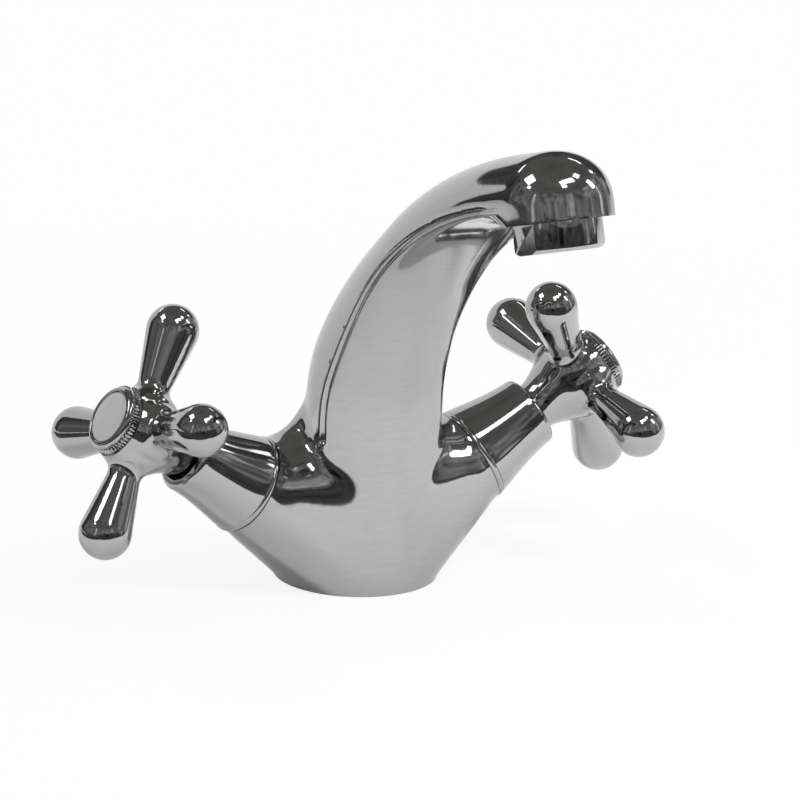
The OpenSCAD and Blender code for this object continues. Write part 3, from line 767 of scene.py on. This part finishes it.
@dataclass
class TapBody:
    """The cast body: round foot, raised branches, swan neck and nose, all in one."""

    neck: Neck = field(default_factory=Neck)
    foot_r: float = 24.1
    foot_land_h: float = 0.8
    branch_s: float = 42.4
    branch_r: float = 14.5
    end_land_h: float = 1.0
    crown_r: float = 22.0
    crown_h: float = 27.0
    saddle_r: float = 6.5
    saddle_y: float = 2.0
    saddle_path: tuple[tuple[float, float], ...] = ((11.0, 50.5), (16.8, 42.4), (25.0, 37.6))
    seat_s: float = 22.0
    seat_hole_s: float = 9.24
    seat_hole_r: float = 4.3
    bore_r: float = 10.53
    aerator_bore_r: float = 12.05
    aerator_bore_depth: float = 7.6
    inlet_x: float = 8.0
    inlet_r: float = 4.5
    inlet_depth: float = 16.0
    stud_y: float = 13.0
    stud_r: float = 2.5
    stud_depth: float = 12.0
    gasket_radii: tuple[float, float] = (19.0, 22.2)
    gasket_h: float = 2.2
    throat_reach: float = 10.0
    foot_still_h: float = 9.0
    neck_softness: float = 0.2
    stub_past: float = 8.0
    trim_past: float = 10.0
    hole_past: float = 3.0
    end_wide: float = 17.0
    nose_wide: float = 24.0
    foot_wide: float = 30.0
    round_steps: int = 192

    def outlet(self) -> Matrix:
        """From the outlet's own frame, +Z up into the nose, to the tap's frame."""
        return (Matrix.Translation((0, -self.neck.reach, self.neck.outlet_h))
                @ Matrix.Rotation(math.radians(-self.neck.outlet_tilt), 4, "X"))

    def branches(self) -> Skin:
        """The foot, the crown and both branches' ends, wrapped in one tight skin."""
        bm = bmesh.new()
        flank = self.neck
        for h in (flank.flank_h, 2 * flank.flank_h):
            bmesh.ops.create_circle(bm, segments=self.round_steps, radius=flank.flank_r,
                                    matrix=Matrix.Translation((0, 0, h)))
        bmesh.ops.create_uvsphere(bm, u_segments=96, v_segments=64, radius=self.crown_r,
                                  matrix=Matrix.Translation((0, 0, self.crown_h)))
        for side in Side:
            for s in (self.branch_s - self.end_land_h, self.branch_s):
                place = ValveAxis(side).place() @ Matrix.Translation((0, 0, s))
                bmesh.ops.create_circle(bm, segments=self.round_steps, radius=self.branch_r, matrix=place)
        return wrapped(bm)

    def saddle(self, side: Side) -> Skin:
        """The swelling that runs the side of the neck out onto a branch.

        Args:
            side: Which branch.

        Returns:
            Its closed skin.
        """
        legs = []
        for a, b in zip(self.saddle_path, self.saddle_path[1:]):
            leg = bmesh.new()
            for x, z in (a, b):
                at = Matrix.Translation((side.value * x, self.saddle_y, z))
                bmesh.ops.create_uvsphere(leg, u_segments=48, v_segments=32, radius=self.saddle_r, matrix=at)
            legs.append(wrapped(leg))
        return joined(legs)

    def trims(self) -> list[Skin]:
        """Solids that trim the outlet face, the branches' ends and the foot's underside."""
        past = self.trim_past
        tools = []
        for side in Side:
            spool = stepped(self.seat_hole_s, (self.seat_hole_r, self.seat_s), (self.bore_r, self.branch_s),
                            (self.end_wide, self.branch_s + past))
            spool.transform(ValveAxis(side).place())
            tools.append(spool)
        outlet = stepped(-past, (self.nose_wide, 0), (self.aerator_bore_r, self.aerator_bore_depth))
        outlet.transform(self.outlet())
        return tools + [outlet, stepped(-past, (self.foot_wide, 0))]

    def holes(self) -> list[Skin]:
        """The inlets, the stud holes and the ring's groove under the foot."""
        past = self.hole_past
        inner, outer = self.gasket_radii
        tools = [turned([(inner, -past), (outer, -past), (outer, self.gasket_h), (inner, self.gasket_h)],
                        ring=True)]
        for side in Side:
            for x, y, r, depth in ((self.inlet_x, 0, self.inlet_r, self.inlet_depth),
                                   (0, self.stud_y, self.stud_r, self.stud_depth)):
                hole = stepped(-past, (r, depth), steps=48)
                hole.transform(Matrix.Translation((side.value * x, side.value * y, 0)))
                tools.append(hole)
        return tools

    def build(self) -> Obj:
        """Makes the body in place of its plain solid."""
        foot = stepped(-self.neck.below, (self.foot_r, self.foot_land_h), steps=self.round_steps)
        skins = [self.neck.skin(), self.branches(), self.saddle(Side.LEFT), self.saddle(Side.RIGHT), foot]
        for side in Side:
            stub = stepped(self.branch_s - self.end_land_h, (self.branch_r, self.branch_s + self.stub_past),
                           steps=self.round_steps)
            stub.transform(ValveAxis(side).place())
            skins.append(stub)
        throat = self.neck.throat()

        def adjust(place: Vector, weight: float) -> float:
            """Keeps the foot still, and softens the throat and the upper neck.

            Args:
                place: The point.
                weight: Its blend's weight by the nearest seam.

            Returns:
                The weight to use.
            """
            near = 1 - (Vector((place.y, place.z)) - throat).length / self.throat_reach
            return max(weight * between(0, 1, place.z / self.foot_still_h), eased(max(0.0, near)),
                       self.neck_softness * between(0, 1, (place.z - self.crown_h) / self.crown_r))

        welder = Welder(voxel=0.65, blend_reach=8.0, blend_rounds=110, polish_rounds=18)
        obj = welder.weld(skins, "tap_body", adjust)
        carve(obj, self.trims())
        carve(obj, [self.neck.groove(side) for side in Side])
        carve(obj, self.holes())
        obj.data.transform(TO_METRES)
        BODY_CHROME.dress(obj)
        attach(obj, "fixed_body")
        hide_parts("body")
        return obj


@dataclass
class Sleeve:
    """The flared sleeve over a headwork."""

    side: Side
    branch_s: float = 42.4
    length: float = 24.3
    rim_r: float = 14.9
    end_r: float = 10.9
    mouth_r: float = 8.2
    wall: float = 1.3
    bell_power: float = 1.5
    lip_h: float = 2.0
    corner_r: float = 1.8
    edge_r: float = 1.0
    thread_r: float = 8.05
    thread_s: float = 8.7
    thread_h: float = 5.0
    mouth_edge_r: float = 0.5
    tuck: float = 0.35
    tuck_power: int = 8
    steps: int = 40

    def bell(self, k: float) -> float:
        """Outside radius at a share of the bell's length."""
        return self.end_r + (self.rim_r - self.end_r) * (1 - k) ** self.bell_power

    def build(self) -> Obj:
        """Makes the sleeve in place of its plain solid."""
        bell_len = self.length - self.lip_h - self.corner_r
        top = self.lip_h + bell_len
        rim = arc((self.rim_r - self.edge_r, self.edge_r), self.edge_r, -90, 60, 12)
        bell = [(self.bell(i / self.steps) - self.tuck * (1 - i / self.steps) ** self.tuck_power,
                 self.lip_h + bell_len * i / self.steps) for i in range(self.steps + 1)]
        corner = arc((self.end_r - self.corner_r, top), self.corner_r, 0, 90, 12)[1:]
        edge = self.mouth_edge_r
        mouth = arc((self.mouth_r + edge, self.length - edge), edge, 90, 180, 6)
        inner = [(self.bell(k) - self.wall, self.lip_h / 2 + (bell_len - self.wall) * k)
                 for k in (1 - i / self.steps for i in range(self.steps + 1))]
        web = [p for p in inner if p[1] > self.thread_s + self.thread_h]
        web += [(self.thread_r, self.thread_s + self.thread_h), (self.thread_r, self.thread_s)]
        web += [p for p in inner if p[1] < self.thread_s]
        outline = (rim + bell + corner + mouth
                   + [(self.mouth_r, top - self.wall)] + web + [(self.rim_r - self.wall - self.edge_r, 0)])
        bm = turned(outline, 160, ring=True)
        bm.transform(TO_METRES @ ValveAxis(self.side).place() @ Matrix.Translation((0, 0, self.branch_s)))
        obj = piece(bm, f"{self.side.word}_bell_sleeve")
        TURNED_CHROME.dress(obj)
        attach(obj, "fixed_body")
        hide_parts(f"{self.side.word}_sleeve")
        return obj


@dataclass
class CrossHandle:
    """The cross: a necked hub and four arms with ball ends, blended as one casting."""

    side: Side
    turn: float
    hub_s: float = 83.4
    inner_s: float = 63.5
    sleeve_end_s: float = 66.7
    front_h: float = 7.4
    hub_r: float = 11.4
    neck_r: float = 7.2
    neck_start: float = 0.4
    neck_flare: Outline = field(default_factory=lambda: [
        (0.3, -14.4), (0.8, -12.8), (1.35, -11.4), (2.0, -10), (2.7, -8.6), (3.35, -7.3), (3.9, -5.9)])
    belly: Outline = field(default_factory=lambda: [
        (0, -4.4), (0.05, -2), (0, 1.5), (-0.2, 3.6), (-0.5, 5.4)])
    belly_end: float = 0.9
    front_past: float = 2.0
    arm_len: float = 31.6
    ball_r: float = 7.8
    arm_neck_r: float = 4.9
    flare_stand: float = 2.6
    flare_r: float = 3.4
    spline_r: float = 4.1
    spline_end: float = 5.1
    screw_r: float = 2.6
    recess_r: float = 8.2
    recess_floor: float = 1.4
    trim_past: float = 8.0
    trim_wide: float = 3.0

    def hub(self) -> Skin:
        """The hub, in the valve's frame."""
        s, front = self.hub_s, self.hub_s + self.front_h
        front_r = self.hub_r - self.belly_end
        outline = [(0, self.inner_s), (self.neck_r, self.inner_s),
                   (self.neck_r, self.sleeve_end_s + self.neck_start)]
        outline += [(self.neck_r + r, s + h) for r, h in self.neck_flare]
        outline += [(self.hub_r + r, s + h) for r, h in self.belly]
        outline += [(front_r, front), (front_r, front + self.front_past), (0, front + self.front_past)]
        return turned(outline, 128)

    def arm(self, step: int) -> Skin:
        """One arm, in the valve's frame.

        Args:
            step: Which quarter of the cross it stands in.

        Returns:
            Its closed skin.
        """
        flare_d = self.hub_r + self.flare_stand
        taper = math.degrees(math.asin((self.ball_r - self.arm_neck_r) / (self.arm_len - flare_d)))
        root_r = self.arm_neck_r + self.flare_r
        flare = [(root_r - self.flare_r * math.sin(a), flare_d - self.flare_r * math.cos(a))
                 for a in (math.radians(9 * i) for i in range(11))]
        ball = arc((0, self.arm_len), self.ball_r, -taper, 90, 30)
        bm = turned([(0, self.hub_r / 2), (root_r, self.hub_r / 2)] + flare + ball, 96)
        bm.transform(Matrix.Translation((0, 0, self.hub_s))
                     @ Matrix.Rotation(math.radians(self.turn + 90 * step), 4, "Z")
                     @ Matrix.Rotation(math.radians(90), 4, "Y"))
        return bm

    def build(self) -> Obj:
        """Makes the cross in place of its plain solid."""
        skins = [self.hub()] + [self.arm(i) for i in range(4)]
        name = f"{self.side.word}_cross_handle"
        obj = Welder(voxel=0.42, blend_reach=5.5, blend_rounds=130, polish_rounds=26).weld(skins, name)
        front = self.hub_s + self.front_h
        carve(obj, [stepped(self.inner_s - self.trim_past, (self.spline_r, self.hub_s - self.spline_end),
                            (self.screw_r, self.hub_s - self.recess_floor), (self.recess_r, front),
                            (self.hub_r + self.trim_wide, front + self.trim_past))])
        obj.data.transform(TO_METRES @ ValveAxis(self.side).place())
        CAST_CHROME.dress(obj)
        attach(obj, f"{self.side.word}_valve_handle")
        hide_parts(f"{self.side.word}_handle")
        return obj


@dataclass
class IndexCap:
    """The screwed cap on the hub: milled edge, rounded bezel and a bare satin disc."""

    side: Side
    hub_s: float = 83.4
    front_h: float = 7.4
    cap_r: float = 10.4
    teeth: int = 60
    tooth_depth: float = 0.45
    edge_h: float = 2.6
    face_h: float = 11.5
    bezel_step: float = 0.7
    disc_r: float = 7.7
    disc_h: float = 1.2
    stem_r: float = 8.1
    stem_bore_r: float = 6.8
    stem_h: float = 4.0
    per_tooth: int = 6
    low_edge: Outline = field(default_factory=lambda: [(-0.25, 0), (0, 0.3)])
    high_edge: Outline = field(default_factory=lambda: [(0, -0.45), (-0.2, -0.15)])
    play: float = 0.25
    slack: float = 0.05
    lip_r: float = 0.35
    disc_edge: float = 0.3
    disc_below: float = 0.2
    disc_crown: float = 0.015

    def place(self) -> Matrix:
        """From the cap's own frame, on the hub's front, to the tap's frame in metres."""
        base = Matrix.Translation((0, 0, self.hub_s + self.front_h))
        return TO_METRES @ ValveAxis(self.side).place() @ base

    def cap(self) -> Obj:
        """Makes the cap in place of its plain solid."""
        face = self.face_h - self.front_h
        bezel_r = self.cap_r - self.bezel_step
        round_r = face - self.edge_h
        groove_r, floor = self.disc_r + self.play, face - self.disc_h
        outline = [(self.stem_bore_r, -self.stem_h), (self.stem_r, -self.stem_h), (self.stem_r, 0)]
        outline += [(self.cap_r + r, h) for r, h in self.low_edge]
        outline += [(self.cap_r + r, self.edge_h + h) for r, h in self.high_edge]
        outline.append((bezel_r, self.edge_h))
        outline += arc((bezel_r - round_r, self.edge_h), round_r, 8, 90, 16)
        outline += arc((groove_r + self.lip_r, face - self.lip_r), self.lip_r, 90, 180, 6)
        outline += [(groove_r, floor), (self.disc_r - 1, floor), (0, floor), (0, 1), (self.stem_bore_r, 1)]
        bm = turned(outline + [outline[0]], self.teeth * self.per_tooth)
        for v in bm.verts:
            r = math.hypot(v.co.x, v.co.y)
            if r > bezel_r + self.slack and v.co.z < self.edge_h:
                swing = 0.5 - 0.5 * math.cos(self.teeth * math.atan2(v.co.y, v.co.x))
                k = 1 - self.tooth_depth * swing ** 2 / r
                v.co.x *= k
                v.co.y *= k
        bm.transform(self.place())
        obj = piece(bm, f"{self.side.word}_milled_cap")
        TURNED_CHROME.dress(obj)
        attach(obj, f"{self.side.word}_valve_handle")
        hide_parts(f"{self.side.word}_index_cap")
        return obj

    def disc(self) -> Obj:
        """Makes the bare disc in place of its plain solid."""
        face = self.face_h - self.front_h
        low, high, edge = face - self.disc_h, face - self.disc_below, self.disc_edge
        rim_r = self.disc_r - self.slack
        outline = [(0, low), (rim_r, low)] + arc((rim_r - edge, high - edge), edge, 0, 90, 6)
        outline += [(self.disc_r * 0.6, high + 0.01), (self.disc_r * 0.3, high + self.disc_crown),
                    (0, high + self.disc_crown)]
        bm = turned(outline, 128)
        bm.transform(self.place())
        obj = piece(bm, f"{self.side.word}_satin_disc")
        SATIN_DISC.dress(obj)
        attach(obj, f"{self.side.word}_valve_handle")
        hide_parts(f"{self.side.word}_index_disc")
        return obj

    def build(self) -> list[Obj]:
        """Makes the cap and its disc."""
        return [self.cap(), self.disc()]


@dataclass
class Aerator:
    """The aerator's housing under the nose, with its two spanner flats."""

    body: TapBody
    thread_r: float = 12.0
    thread_h: float = 6.0
    collar_r: float = 12.6
    collar_h: float = 8.4
    flats: float = 22.0
    chamfer: float = 1.0
    wall: float = 1.8
    inner_chamfer: float = 0.4
    soft: float = 0.2
    under_nose: float = 0.05
    gap: float = 0.1
    tool_w: float = 10.0
    tool_len: float = 40.0

    def build(self) -> Obj:
        """Makes the housing in place of its plain solid."""
        inner_r = self.thread_r - self.wall
        low, soft, top = -self.collar_h, self.soft, -self.under_nose
        outline = [(inner_r, self.thread_h), (inner_r, low + self.inner_chamfer),
                   (inner_r + self.inner_chamfer, low), (self.collar_r - self.chamfer - soft, low),
                   (self.collar_r - self.chamfer, low + soft / 2),
                   (self.collar_r - soft / 2, low + self.chamfer - soft / 4),
                   (self.collar_r, low + self.chamfer + soft),
                   (self.collar_r, top), (self.thread_r, top), (self.thread_r, self.thread_h)]
        obj = piece(turned(outline, 160, ring=True), "aerator_collar")
        tools = []
        for side in Side:
            box = bmesh.new()
            bmesh.ops.create_cube(box, size=1)
            bmesh.ops.scale(box, vec=(self.tool_w, self.tool_len, self.collar_h), verts=box.verts[:])
            across = side.value * (self.flats + self.tool_w) / 2
            bmesh.ops.translate(box, vec=(across, 0, -self.collar_h / 2 - self.gap), verts=box.verts[:])
            tools.append(box)
        carve(obj, tools)
        obj.data.transform(TO_METRES @ self.body.outlet())
        TURNED_CHROME.dress(obj)
        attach(obj, "fixed_body")
        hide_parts("aerator_housing")
        return obj


@dataclass
class InnerPieces:
    """The frame's own nodes that show as they are, inside the tap and under it."""

    endings: dict[str, Finish] = field(default_factory=lambda: {
        "base_gasket": RUBBER, "aerator_insert": FILTER, "aerator_washer": RUBBER,
        "headwork_body": BRASS, "headwork_gasket": RUBBER, "seat_seal": RUBBER,
        "fixed_disc": CERAMIC, "moving_disc": CERAMIC, "spindle": BRASS, "spindle_orings": RUBBER,
        "spindle_clip": STEEL, "handle_screw": STEEL})

    def build(self) -> list[Obj]:
        """Gives each node its finish."""
        done = []
        for name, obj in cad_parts.items():
            finish = next((f for ending, f in self.endings.items() if name.endswith(ending)), None)
            if finish is not None:
                finish.dress(obj)
                done.append(obj)
        return done


@dataclass(frozen=True)
class Direction:
    """A direction from the tap, azimuth from +Y towards +X, both in degrees."""

    azimuth: float
    elevation: float

    def at(self, distance: float, centre: Vector) -> Vector:
        """The point that lies this way.

        Args:
            distance: How far it is, in metres.
            centre: Where from.

        Returns:
            The point.
        """
        a, e = math.radians(self.azimuth), math.radians(self.elevation)
        level = math.cos(e)
        return centre + distance * Vector((math.sin(a) * level, math.cos(a) * level, math.sin(e)))


@dataclass(frozen=True)
class Softbox:
    """A lamp with a flat rectangular face, sized in degrees as the tap sees it."""

    name: str
    direction: Direction
    width: float
    height: float
    radiance: float
    mirrored: bool = True

    def build(self, distance: float, centre: Vector) -> Obj:
        """Hangs the lamp.

        Args:
            distance: How far it is from the tap, in metres.
            centre: The middle of the tap.

        Returns:
            The lamp.
        """
        size_x = 2 * distance * math.tan(math.radians(self.width / 2))
        size_y = 2 * distance * math.tan(math.radians(self.height / 2))
        data = bpy.data.lights.new(self.name, "AREA")
        data.shape = "RECTANGLE"
        data.size, data.size_y = size_x, size_y
        data.energy = self.radiance * math.pi * size_x * size_y
        lamp = linked(self.name, data)
        lamp.location = self.direction.at(distance, centre)
        lamp.rotation_euler = (centre - lamp.location).to_track_quat("-Z", "Y").to_euler()
        lamp.visible_camera = False
        lamp.visible_glossy = self.mirrored
        return lamp


def glowing_card(bm: Skin, name: str, level: Callable[[Nodes], Socket],
                 tint: Triple = WHITE, edge: Edge = Edge.CRISP) -> Obj:
    """Makes a glowing card that is kept out of pictures and off the floor's light.

    Args:
        bm: The card's mesh in progress.
        name: Its name, and its material's.
        level: Adds the nodes of the glow's strength.
        tint: Triple of the glow.
        edge: Which edges stay sharp.

    Returns:
        The card, which only polish sees.
    """
    obj = piece(bm, name, edge)
    material, nodes = new_material(name)
    glow = nodes.add("Emission")
    glow.inputs["Color"].default_value = (*tint, 1)
    nodes.link(level(nodes), glow.inputs["Strength"])
    nodes.link(glow.outputs["Emission"], nodes.add("OutputMaterial").inputs["Surface"])
    obj.data.materials.append(material)
    obj.visible_camera = False
    obj.visible_diffuse = False
    obj.visible_shadow = False
    return obj


@dataclass(frozen=True)
class Card:
    """A curved card round the tap that only its polish sees, from one azimuth to another."""

    name: str
    start: float
    end: float
    low: float
    high: float
    radius: float
    level: tuple[float, float]
    clutter: tuple[float, float] = (0.3, 1.5)
    clutter_scale: float = 3.0
    step: float = 6.0

    def build(self, centre: Vector) -> Obj:
        """Stands the card up.

        Args:
            centre: The middle of the tap.

        Returns:
            The card.
        """
        bm = bmesh.new()
        a = math.radians(self.start)
        foot = Vector((math.sin(a), math.cos(a), 0)) * self.radius + Vector((centre.x, centre.y, 0))
        low = centre.z + self.radius * math.tan(math.radians(self.low))
        high = centre.z + self.radius * math.tan(math.radians(self.high))
        verts = [bm.verts.new((foot.x, foot.y, z)) for z in (low, high)]
        edge = bm.edges.new(verts)
        turn = (self.end - self.start) % 360
        bmesh.ops.spin(bm, geom=verts + [edge], cent=(centre.x, centre.y, 0), axis=(0, 0, -1),
                       angle=math.radians(turn), steps=max(2, int(turn / self.step)), use_duplicate=False)
        return glowing_card(bm, self.name, lambda nodes: self.glow(nodes, low, high))

    def glow(self, nodes: Nodes, low: float, high: float) -> Socket:
        """A glow that changes with height, over the room's clutter.

        Args:
            nodes: The tree to add it to.
            low: Height of the card's foot.
            high: Height of its top.

        Returns:
            The glow's strength.
        """
        split = nodes.add("SeparateXYZ")
        nodes.link(nodes.add("TexCoord").outputs["Object"], split.inputs["Vector"])
        clutter = nodes.ranged(nodes.noise(self.clutter_scale, 3.0), *self.clutter)
        return nodes.math("MULTIPLY", nodes.ranged(split.outputs["Z"], *self.level, (low, high)), clutter)


@dataclass
class Studio:
    """Camera, white floor, soft lamps and the dark cards that the chrome mirrors."""

    centre: Vector = field(default_factory=lambda: Vector((0.0, -0.03, 0.09)))
    eye: Triple = (-0.9346, -1.7264, 0.6544)
    right: Triple = (0.8809, -0.4722, 0.0327)
    up: Triple = (0.1108, 0.2730, 0.9556)
    back: Triple = (-0.4602, -0.8382, 0.2928)
    lens: float = 315.4
    sensor: float = 36.0
    clip: tuple[float, float] = (0.05, 50.0)
    floor_r: float = 6.0
    lamp_distance: float = 1.2
    ceiling_h: float = 1.25
    room_r: float = 1.7
    sheet_edge: tuple[tuple[float, float], ...] = (
        (-0.2, 0.3), (-0.195, -0.1), (-0.125, -0.16), (-0.05, -0.225), (0.1, -0.24), (1.7, -0.26))
    paper_y: float = 0.21
    paper_h: float = 0.205
    paper_x: tuple[float, float] = (-0.166, 0.75)
    paper_level: float = 0.8
    fill_level: float = 0.45
    floor_seen: tuple[float, float] = (0.88, 0.995)
    floor_fade: tuple[float, float] = (0.12, 0.4)
    floor_mirrored: float = 0.12
    floor_paint: float = 0.95
    ceiling_level: tuple[float, float] = (0.11, 0.17)
    ceiling_tint: Triple = (1.0, 0.978, 0.935)
    ceiling_grain: float = 1.4
    ground_level: tuple[float, float] = (0.03, 0.12)
    ground_grain: float = 6.0
    ground_lift: float = 0.0004
    paper_fold: float = 0.05
    paper_shade: float = 0.06
    paper_grain: float = 5.0
    softboxes: tuple[Softbox, ...] = (
        Softbox("softbox_left", Direction(-64, 51), 20, 14, 5.0),
        Softbox("softbox_left_small", Direction(-84, 40), 7, 5, 4.0),
        Softbox("softbox_front", Direction(168, 61), 24, 9, 5.0),
        Softbox("softbox_front_small", Direction(-177, 51), 8, 6, 4.0),
        Softbox("softbox_right_high", Direction(122, 60), 9, 8, 7.0),
        Softbox("softbox_right_tall", Direction(116, 34), 8, 16, 5.0),
        Softbox("softbox_right_small", Direction(80, 36), 5, 5, 4.0),
        Softbox("softbox_back_right", Direction(53, 42), 14, 2.5, 4.0),
        Softbox("softbox_back", Direction(-7, 31), 13, 2.5, 4.0),
        Softbox("floor_lamp", Direction(140, 45), 14, 14, 28.0, False),
    )
    cards: tuple[Card, ...] = (
        Card("card_left_low", 230, 312, -14, 5, 1.7, (0.14, 0.12)),
        Card("card_left_high", 230, 312, 5, 38, 1.7, (0.22, 0.17)),
        Card("card_front_low", 144, 230, -14, 13, 1.7, (0.04, 0.1)),
        Card("card_front_high", 180, 230, 13, 38, 1.7, (0.3, 0.17)),
        Card("card_front_right_high", 144, 180, 13, 38, 1.7, (0.22, 0.18)),
        Card("card_right", 96, 144, -14, 38, 1.7, (0.16, 0.42)),
        Card("card_right_edge", 72, 96, -2, 38, 1.7, (0.4, 0.2)),
        Card("card_back", 312, 72, -14, 38, 1.75, (0.02, 0.13)),
        Card("card_window", 170, 186, 17, 33, 1.66, (0.6, 0.3)),
        Card("card_door", 196, 206, -12, 12, 1.66, (0.02, 0.02)),
        Card("card_strip_left", 249, 255, 2, 30, 1.65, (0.5, 0.6)),
        Card("card_strip_right", 106, 111, -2, 24, 1.65, (0.7, 0.9)),
        Card("card_strip_far", 132, 136, -8, 20, 1.65, (0.4, 0.55)),
    )

    def camera(self) -> Obj:
        """Stands the camera where the photograph was taken from."""
        data = bpy.data.cameras.new("camera")
        data.lens = self.lens
        data.sensor_width = self.sensor
        data.clip_start, data.clip_end = self.clip
        camera = linked("camera", data)
        turn = Matrix((self.right, self.up, self.back)).transposed()
        camera.matrix_world = Matrix.Translation(self.eye) @ turn.to_4x4()
        bpy.context.scene.camera = camera
        return camera

    def floor(self) -> Obj:
        """Lays the round white floor, which keeps a faint shadow of the tap."""
        bm = bmesh.new()
        bmesh.ops.create_circle(bm, cap_ends=True, segments=128, radius=self.floor_r)
        obj = piece(bm, "floor")
        material, nodes = new_material("white_floor")
        paint, glow = nodes.add("BsdfDiffuse"), nodes.add("Emission")
        paint.inputs["Color"].default_value = (*(self.floor_paint * c for c in WHITE), 1)
        glow.inputs["Strength"].default_value = 1.0
        path = nodes.add("LightPath")
        seen = nodes.math("MAXIMUM", path.outputs["Is Camera Ray"], path.outputs["Is Transmission Ray"])
        mirrored = nodes.math("MULTIPLY", path.outputs["Is Glossy Ray"], self.floor_mirrored)
        distance = nodes.add("VectorMath", operation="LENGTH")
        nodes.link(nodes.add("TexCoord").outputs["Object"], distance.inputs[0])
        fade = nodes.ranged(distance.outputs["Value"], *self.floor_seen, self.floor_fade)
        nodes.mixed(nodes.math("MULTIPLY_ADD", seen, fade, mirrored), paint, glow)
        obj.data.materials.append(material)
        return obj

    def ceiling(self) -> Obj:
        """Hangs the dark ceiling over the tap."""
        bm = bmesh.new()
        above = Matrix.Translation(self.centre + Vector((0, 0, self.ceiling_h)))
        bmesh.ops.create_circle(bm, cap_ends=True, segments=64, radius=self.room_r + 0.1, matrix=above)
        return glowing_card(bm, "card_ceiling",
                            lambda nodes: nodes.ranged(nodes.noise(self.ceiling_grain), *self.ceiling_level),
                            self.ceiling_tint)

    def dark_ground(self) -> Obj:
        """Lays the dark ground that only polish sees, left of and before the white sheet's edge."""
        bm = bmesh.new()
        far, lift = self.room_r, self.ground_lift
        for (x0, y0), (x1, y1) in zip(self.sheet_edge, self.sheet_edge[1:]):
            outline = ([(x0, y0), (x1, y1), (-far, y1), (-far, y0)] if x1 < 0
                       else [(x0, y0), (x1, y1), (x1, -far), (x0, -far)])
            bmesh.ops.contextual_create(bm, geom=[bm.verts.new((x, y, lift)) for x, y in outline])
        turn_x, turn_y = next((x, y) for x, y in self.sheet_edge[::-1] if x < 0)
        corner = [(turn_x, turn_y), (turn_x, -far), (-far, -far), (-far, turn_y)]
        bmesh.ops.contextual_create(bm, geom=[bm.verts.new((x, y, lift)) for x, y in corner])
        bmesh.ops.recalc_face_normals(bm, faces=bm.faces[:])
        return glowing_card(bm, "card_ground",
                            lambda nodes: nodes.ranged(nodes.noise(self.ground_grain, 3.0),
                                                       *self.ground_level))

    def paper(self) -> Obj:
        """Stands the white paper up behind the tap, for polish alone."""
        bm = bmesh.new()
        low, high = self.paper_x
        fold, level, shade = self.paper_fold, self.paper_level, self.paper_shade
        outline = [(self.paper_y - fold, 0.0)]
        outline += [(self.paper_y - fold + fold * math.sin(a), fold - fold * math.cos(a))
                    for a in (math.radians(15 * i) for i in range(1, 6))]
        outline += [(self.paper_y, fold), (self.paper_y, self.paper_h)]
        verts = [bm.verts.new((low, y, z)) for y, z in outline]
        edges = [bm.edges.new(pair) for pair in zip(verts, verts[1:])]
        made = bmesh.ops.extrude_edge_only(bm, edges=edges)["geom"]
        bmesh.ops.translate(bm, vec=(high - low, 0, 0), verts=points_in(made))
        return glowing_card(bm, "card_paper",
                            lambda nodes: nodes.ranged(nodes.noise(self.paper_grain),
                                                       level - shade, level + shade),
                            edge=Edge.SOFT)

    def world(self) -> bpy.types.World:
        """Fills everything round the studio with white, and lights it at a plain level."""
        world = bpy.data.worlds.new("white_studio")
        bpy.context.scene.world = world
        world.use_nodes = True
        nodes = Nodes(world.node_tree)
        fill, seen = nodes.add("Background"), nodes.add("Background")
        for shader, level in ((fill, self.fill_level), (seen, 1.0)):
            shader.inputs["Color"].default_value = (*WHITE, 1)
            shader.inputs["Strength"].default_value = level
        path = nodes.add("LightPath")
        direct = nodes.math("MAXIMUM", path.outputs["Is Camera Ray"], path.outputs["Is Glossy Ray"])
        nodes.mixed(nodes.math("MAXIMUM", direct, path.outputs["Is Transmission Ray"]), fill, seen,
                    "OutputWorld")
        return world

    def build(self) -> None:
        """Sets up the whole studio."""
        bpy.context.scene.view_settings.view_transform = "Standard"
        self.camera()
        self.world()
        self.floor()
        self.ceiling()
        self.dark_ground()
        self.paper()
        for card in self.cards:
            card.build(self.centre)
        for softbox in self.softboxes:
            softbox.build(self.lamp_distance, self.centre)


def report(made: Obj) -> None:
    """Logs a finished piece with its triangles."""
    made.data.calc_loop_triangles()
    LOG.info("%s: %d triangles", made.name, len(made.data.loop_triangles))


def main() -> None:
    """Builds the tap's pieces and the studio round them, in order."""
    logging.basicConfig(level=logging.INFO, format="%(name)s %(message)s")
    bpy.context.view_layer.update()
    Studio().build()
    body = TapBody()
    report(body.build())
    report(Aerator(body).build())
    for side, turn in ((Side.LEFT, 18.0), (Side.RIGHT, 19.0)):
        report(Sleeve(side).build())
        report(CrossHandle(side, turn).build())
        for made in IndexCap(side).build():
            report(made)
    for made in InnerPieces().build():
        report(made)


if __name__ == "__main__":
    main()
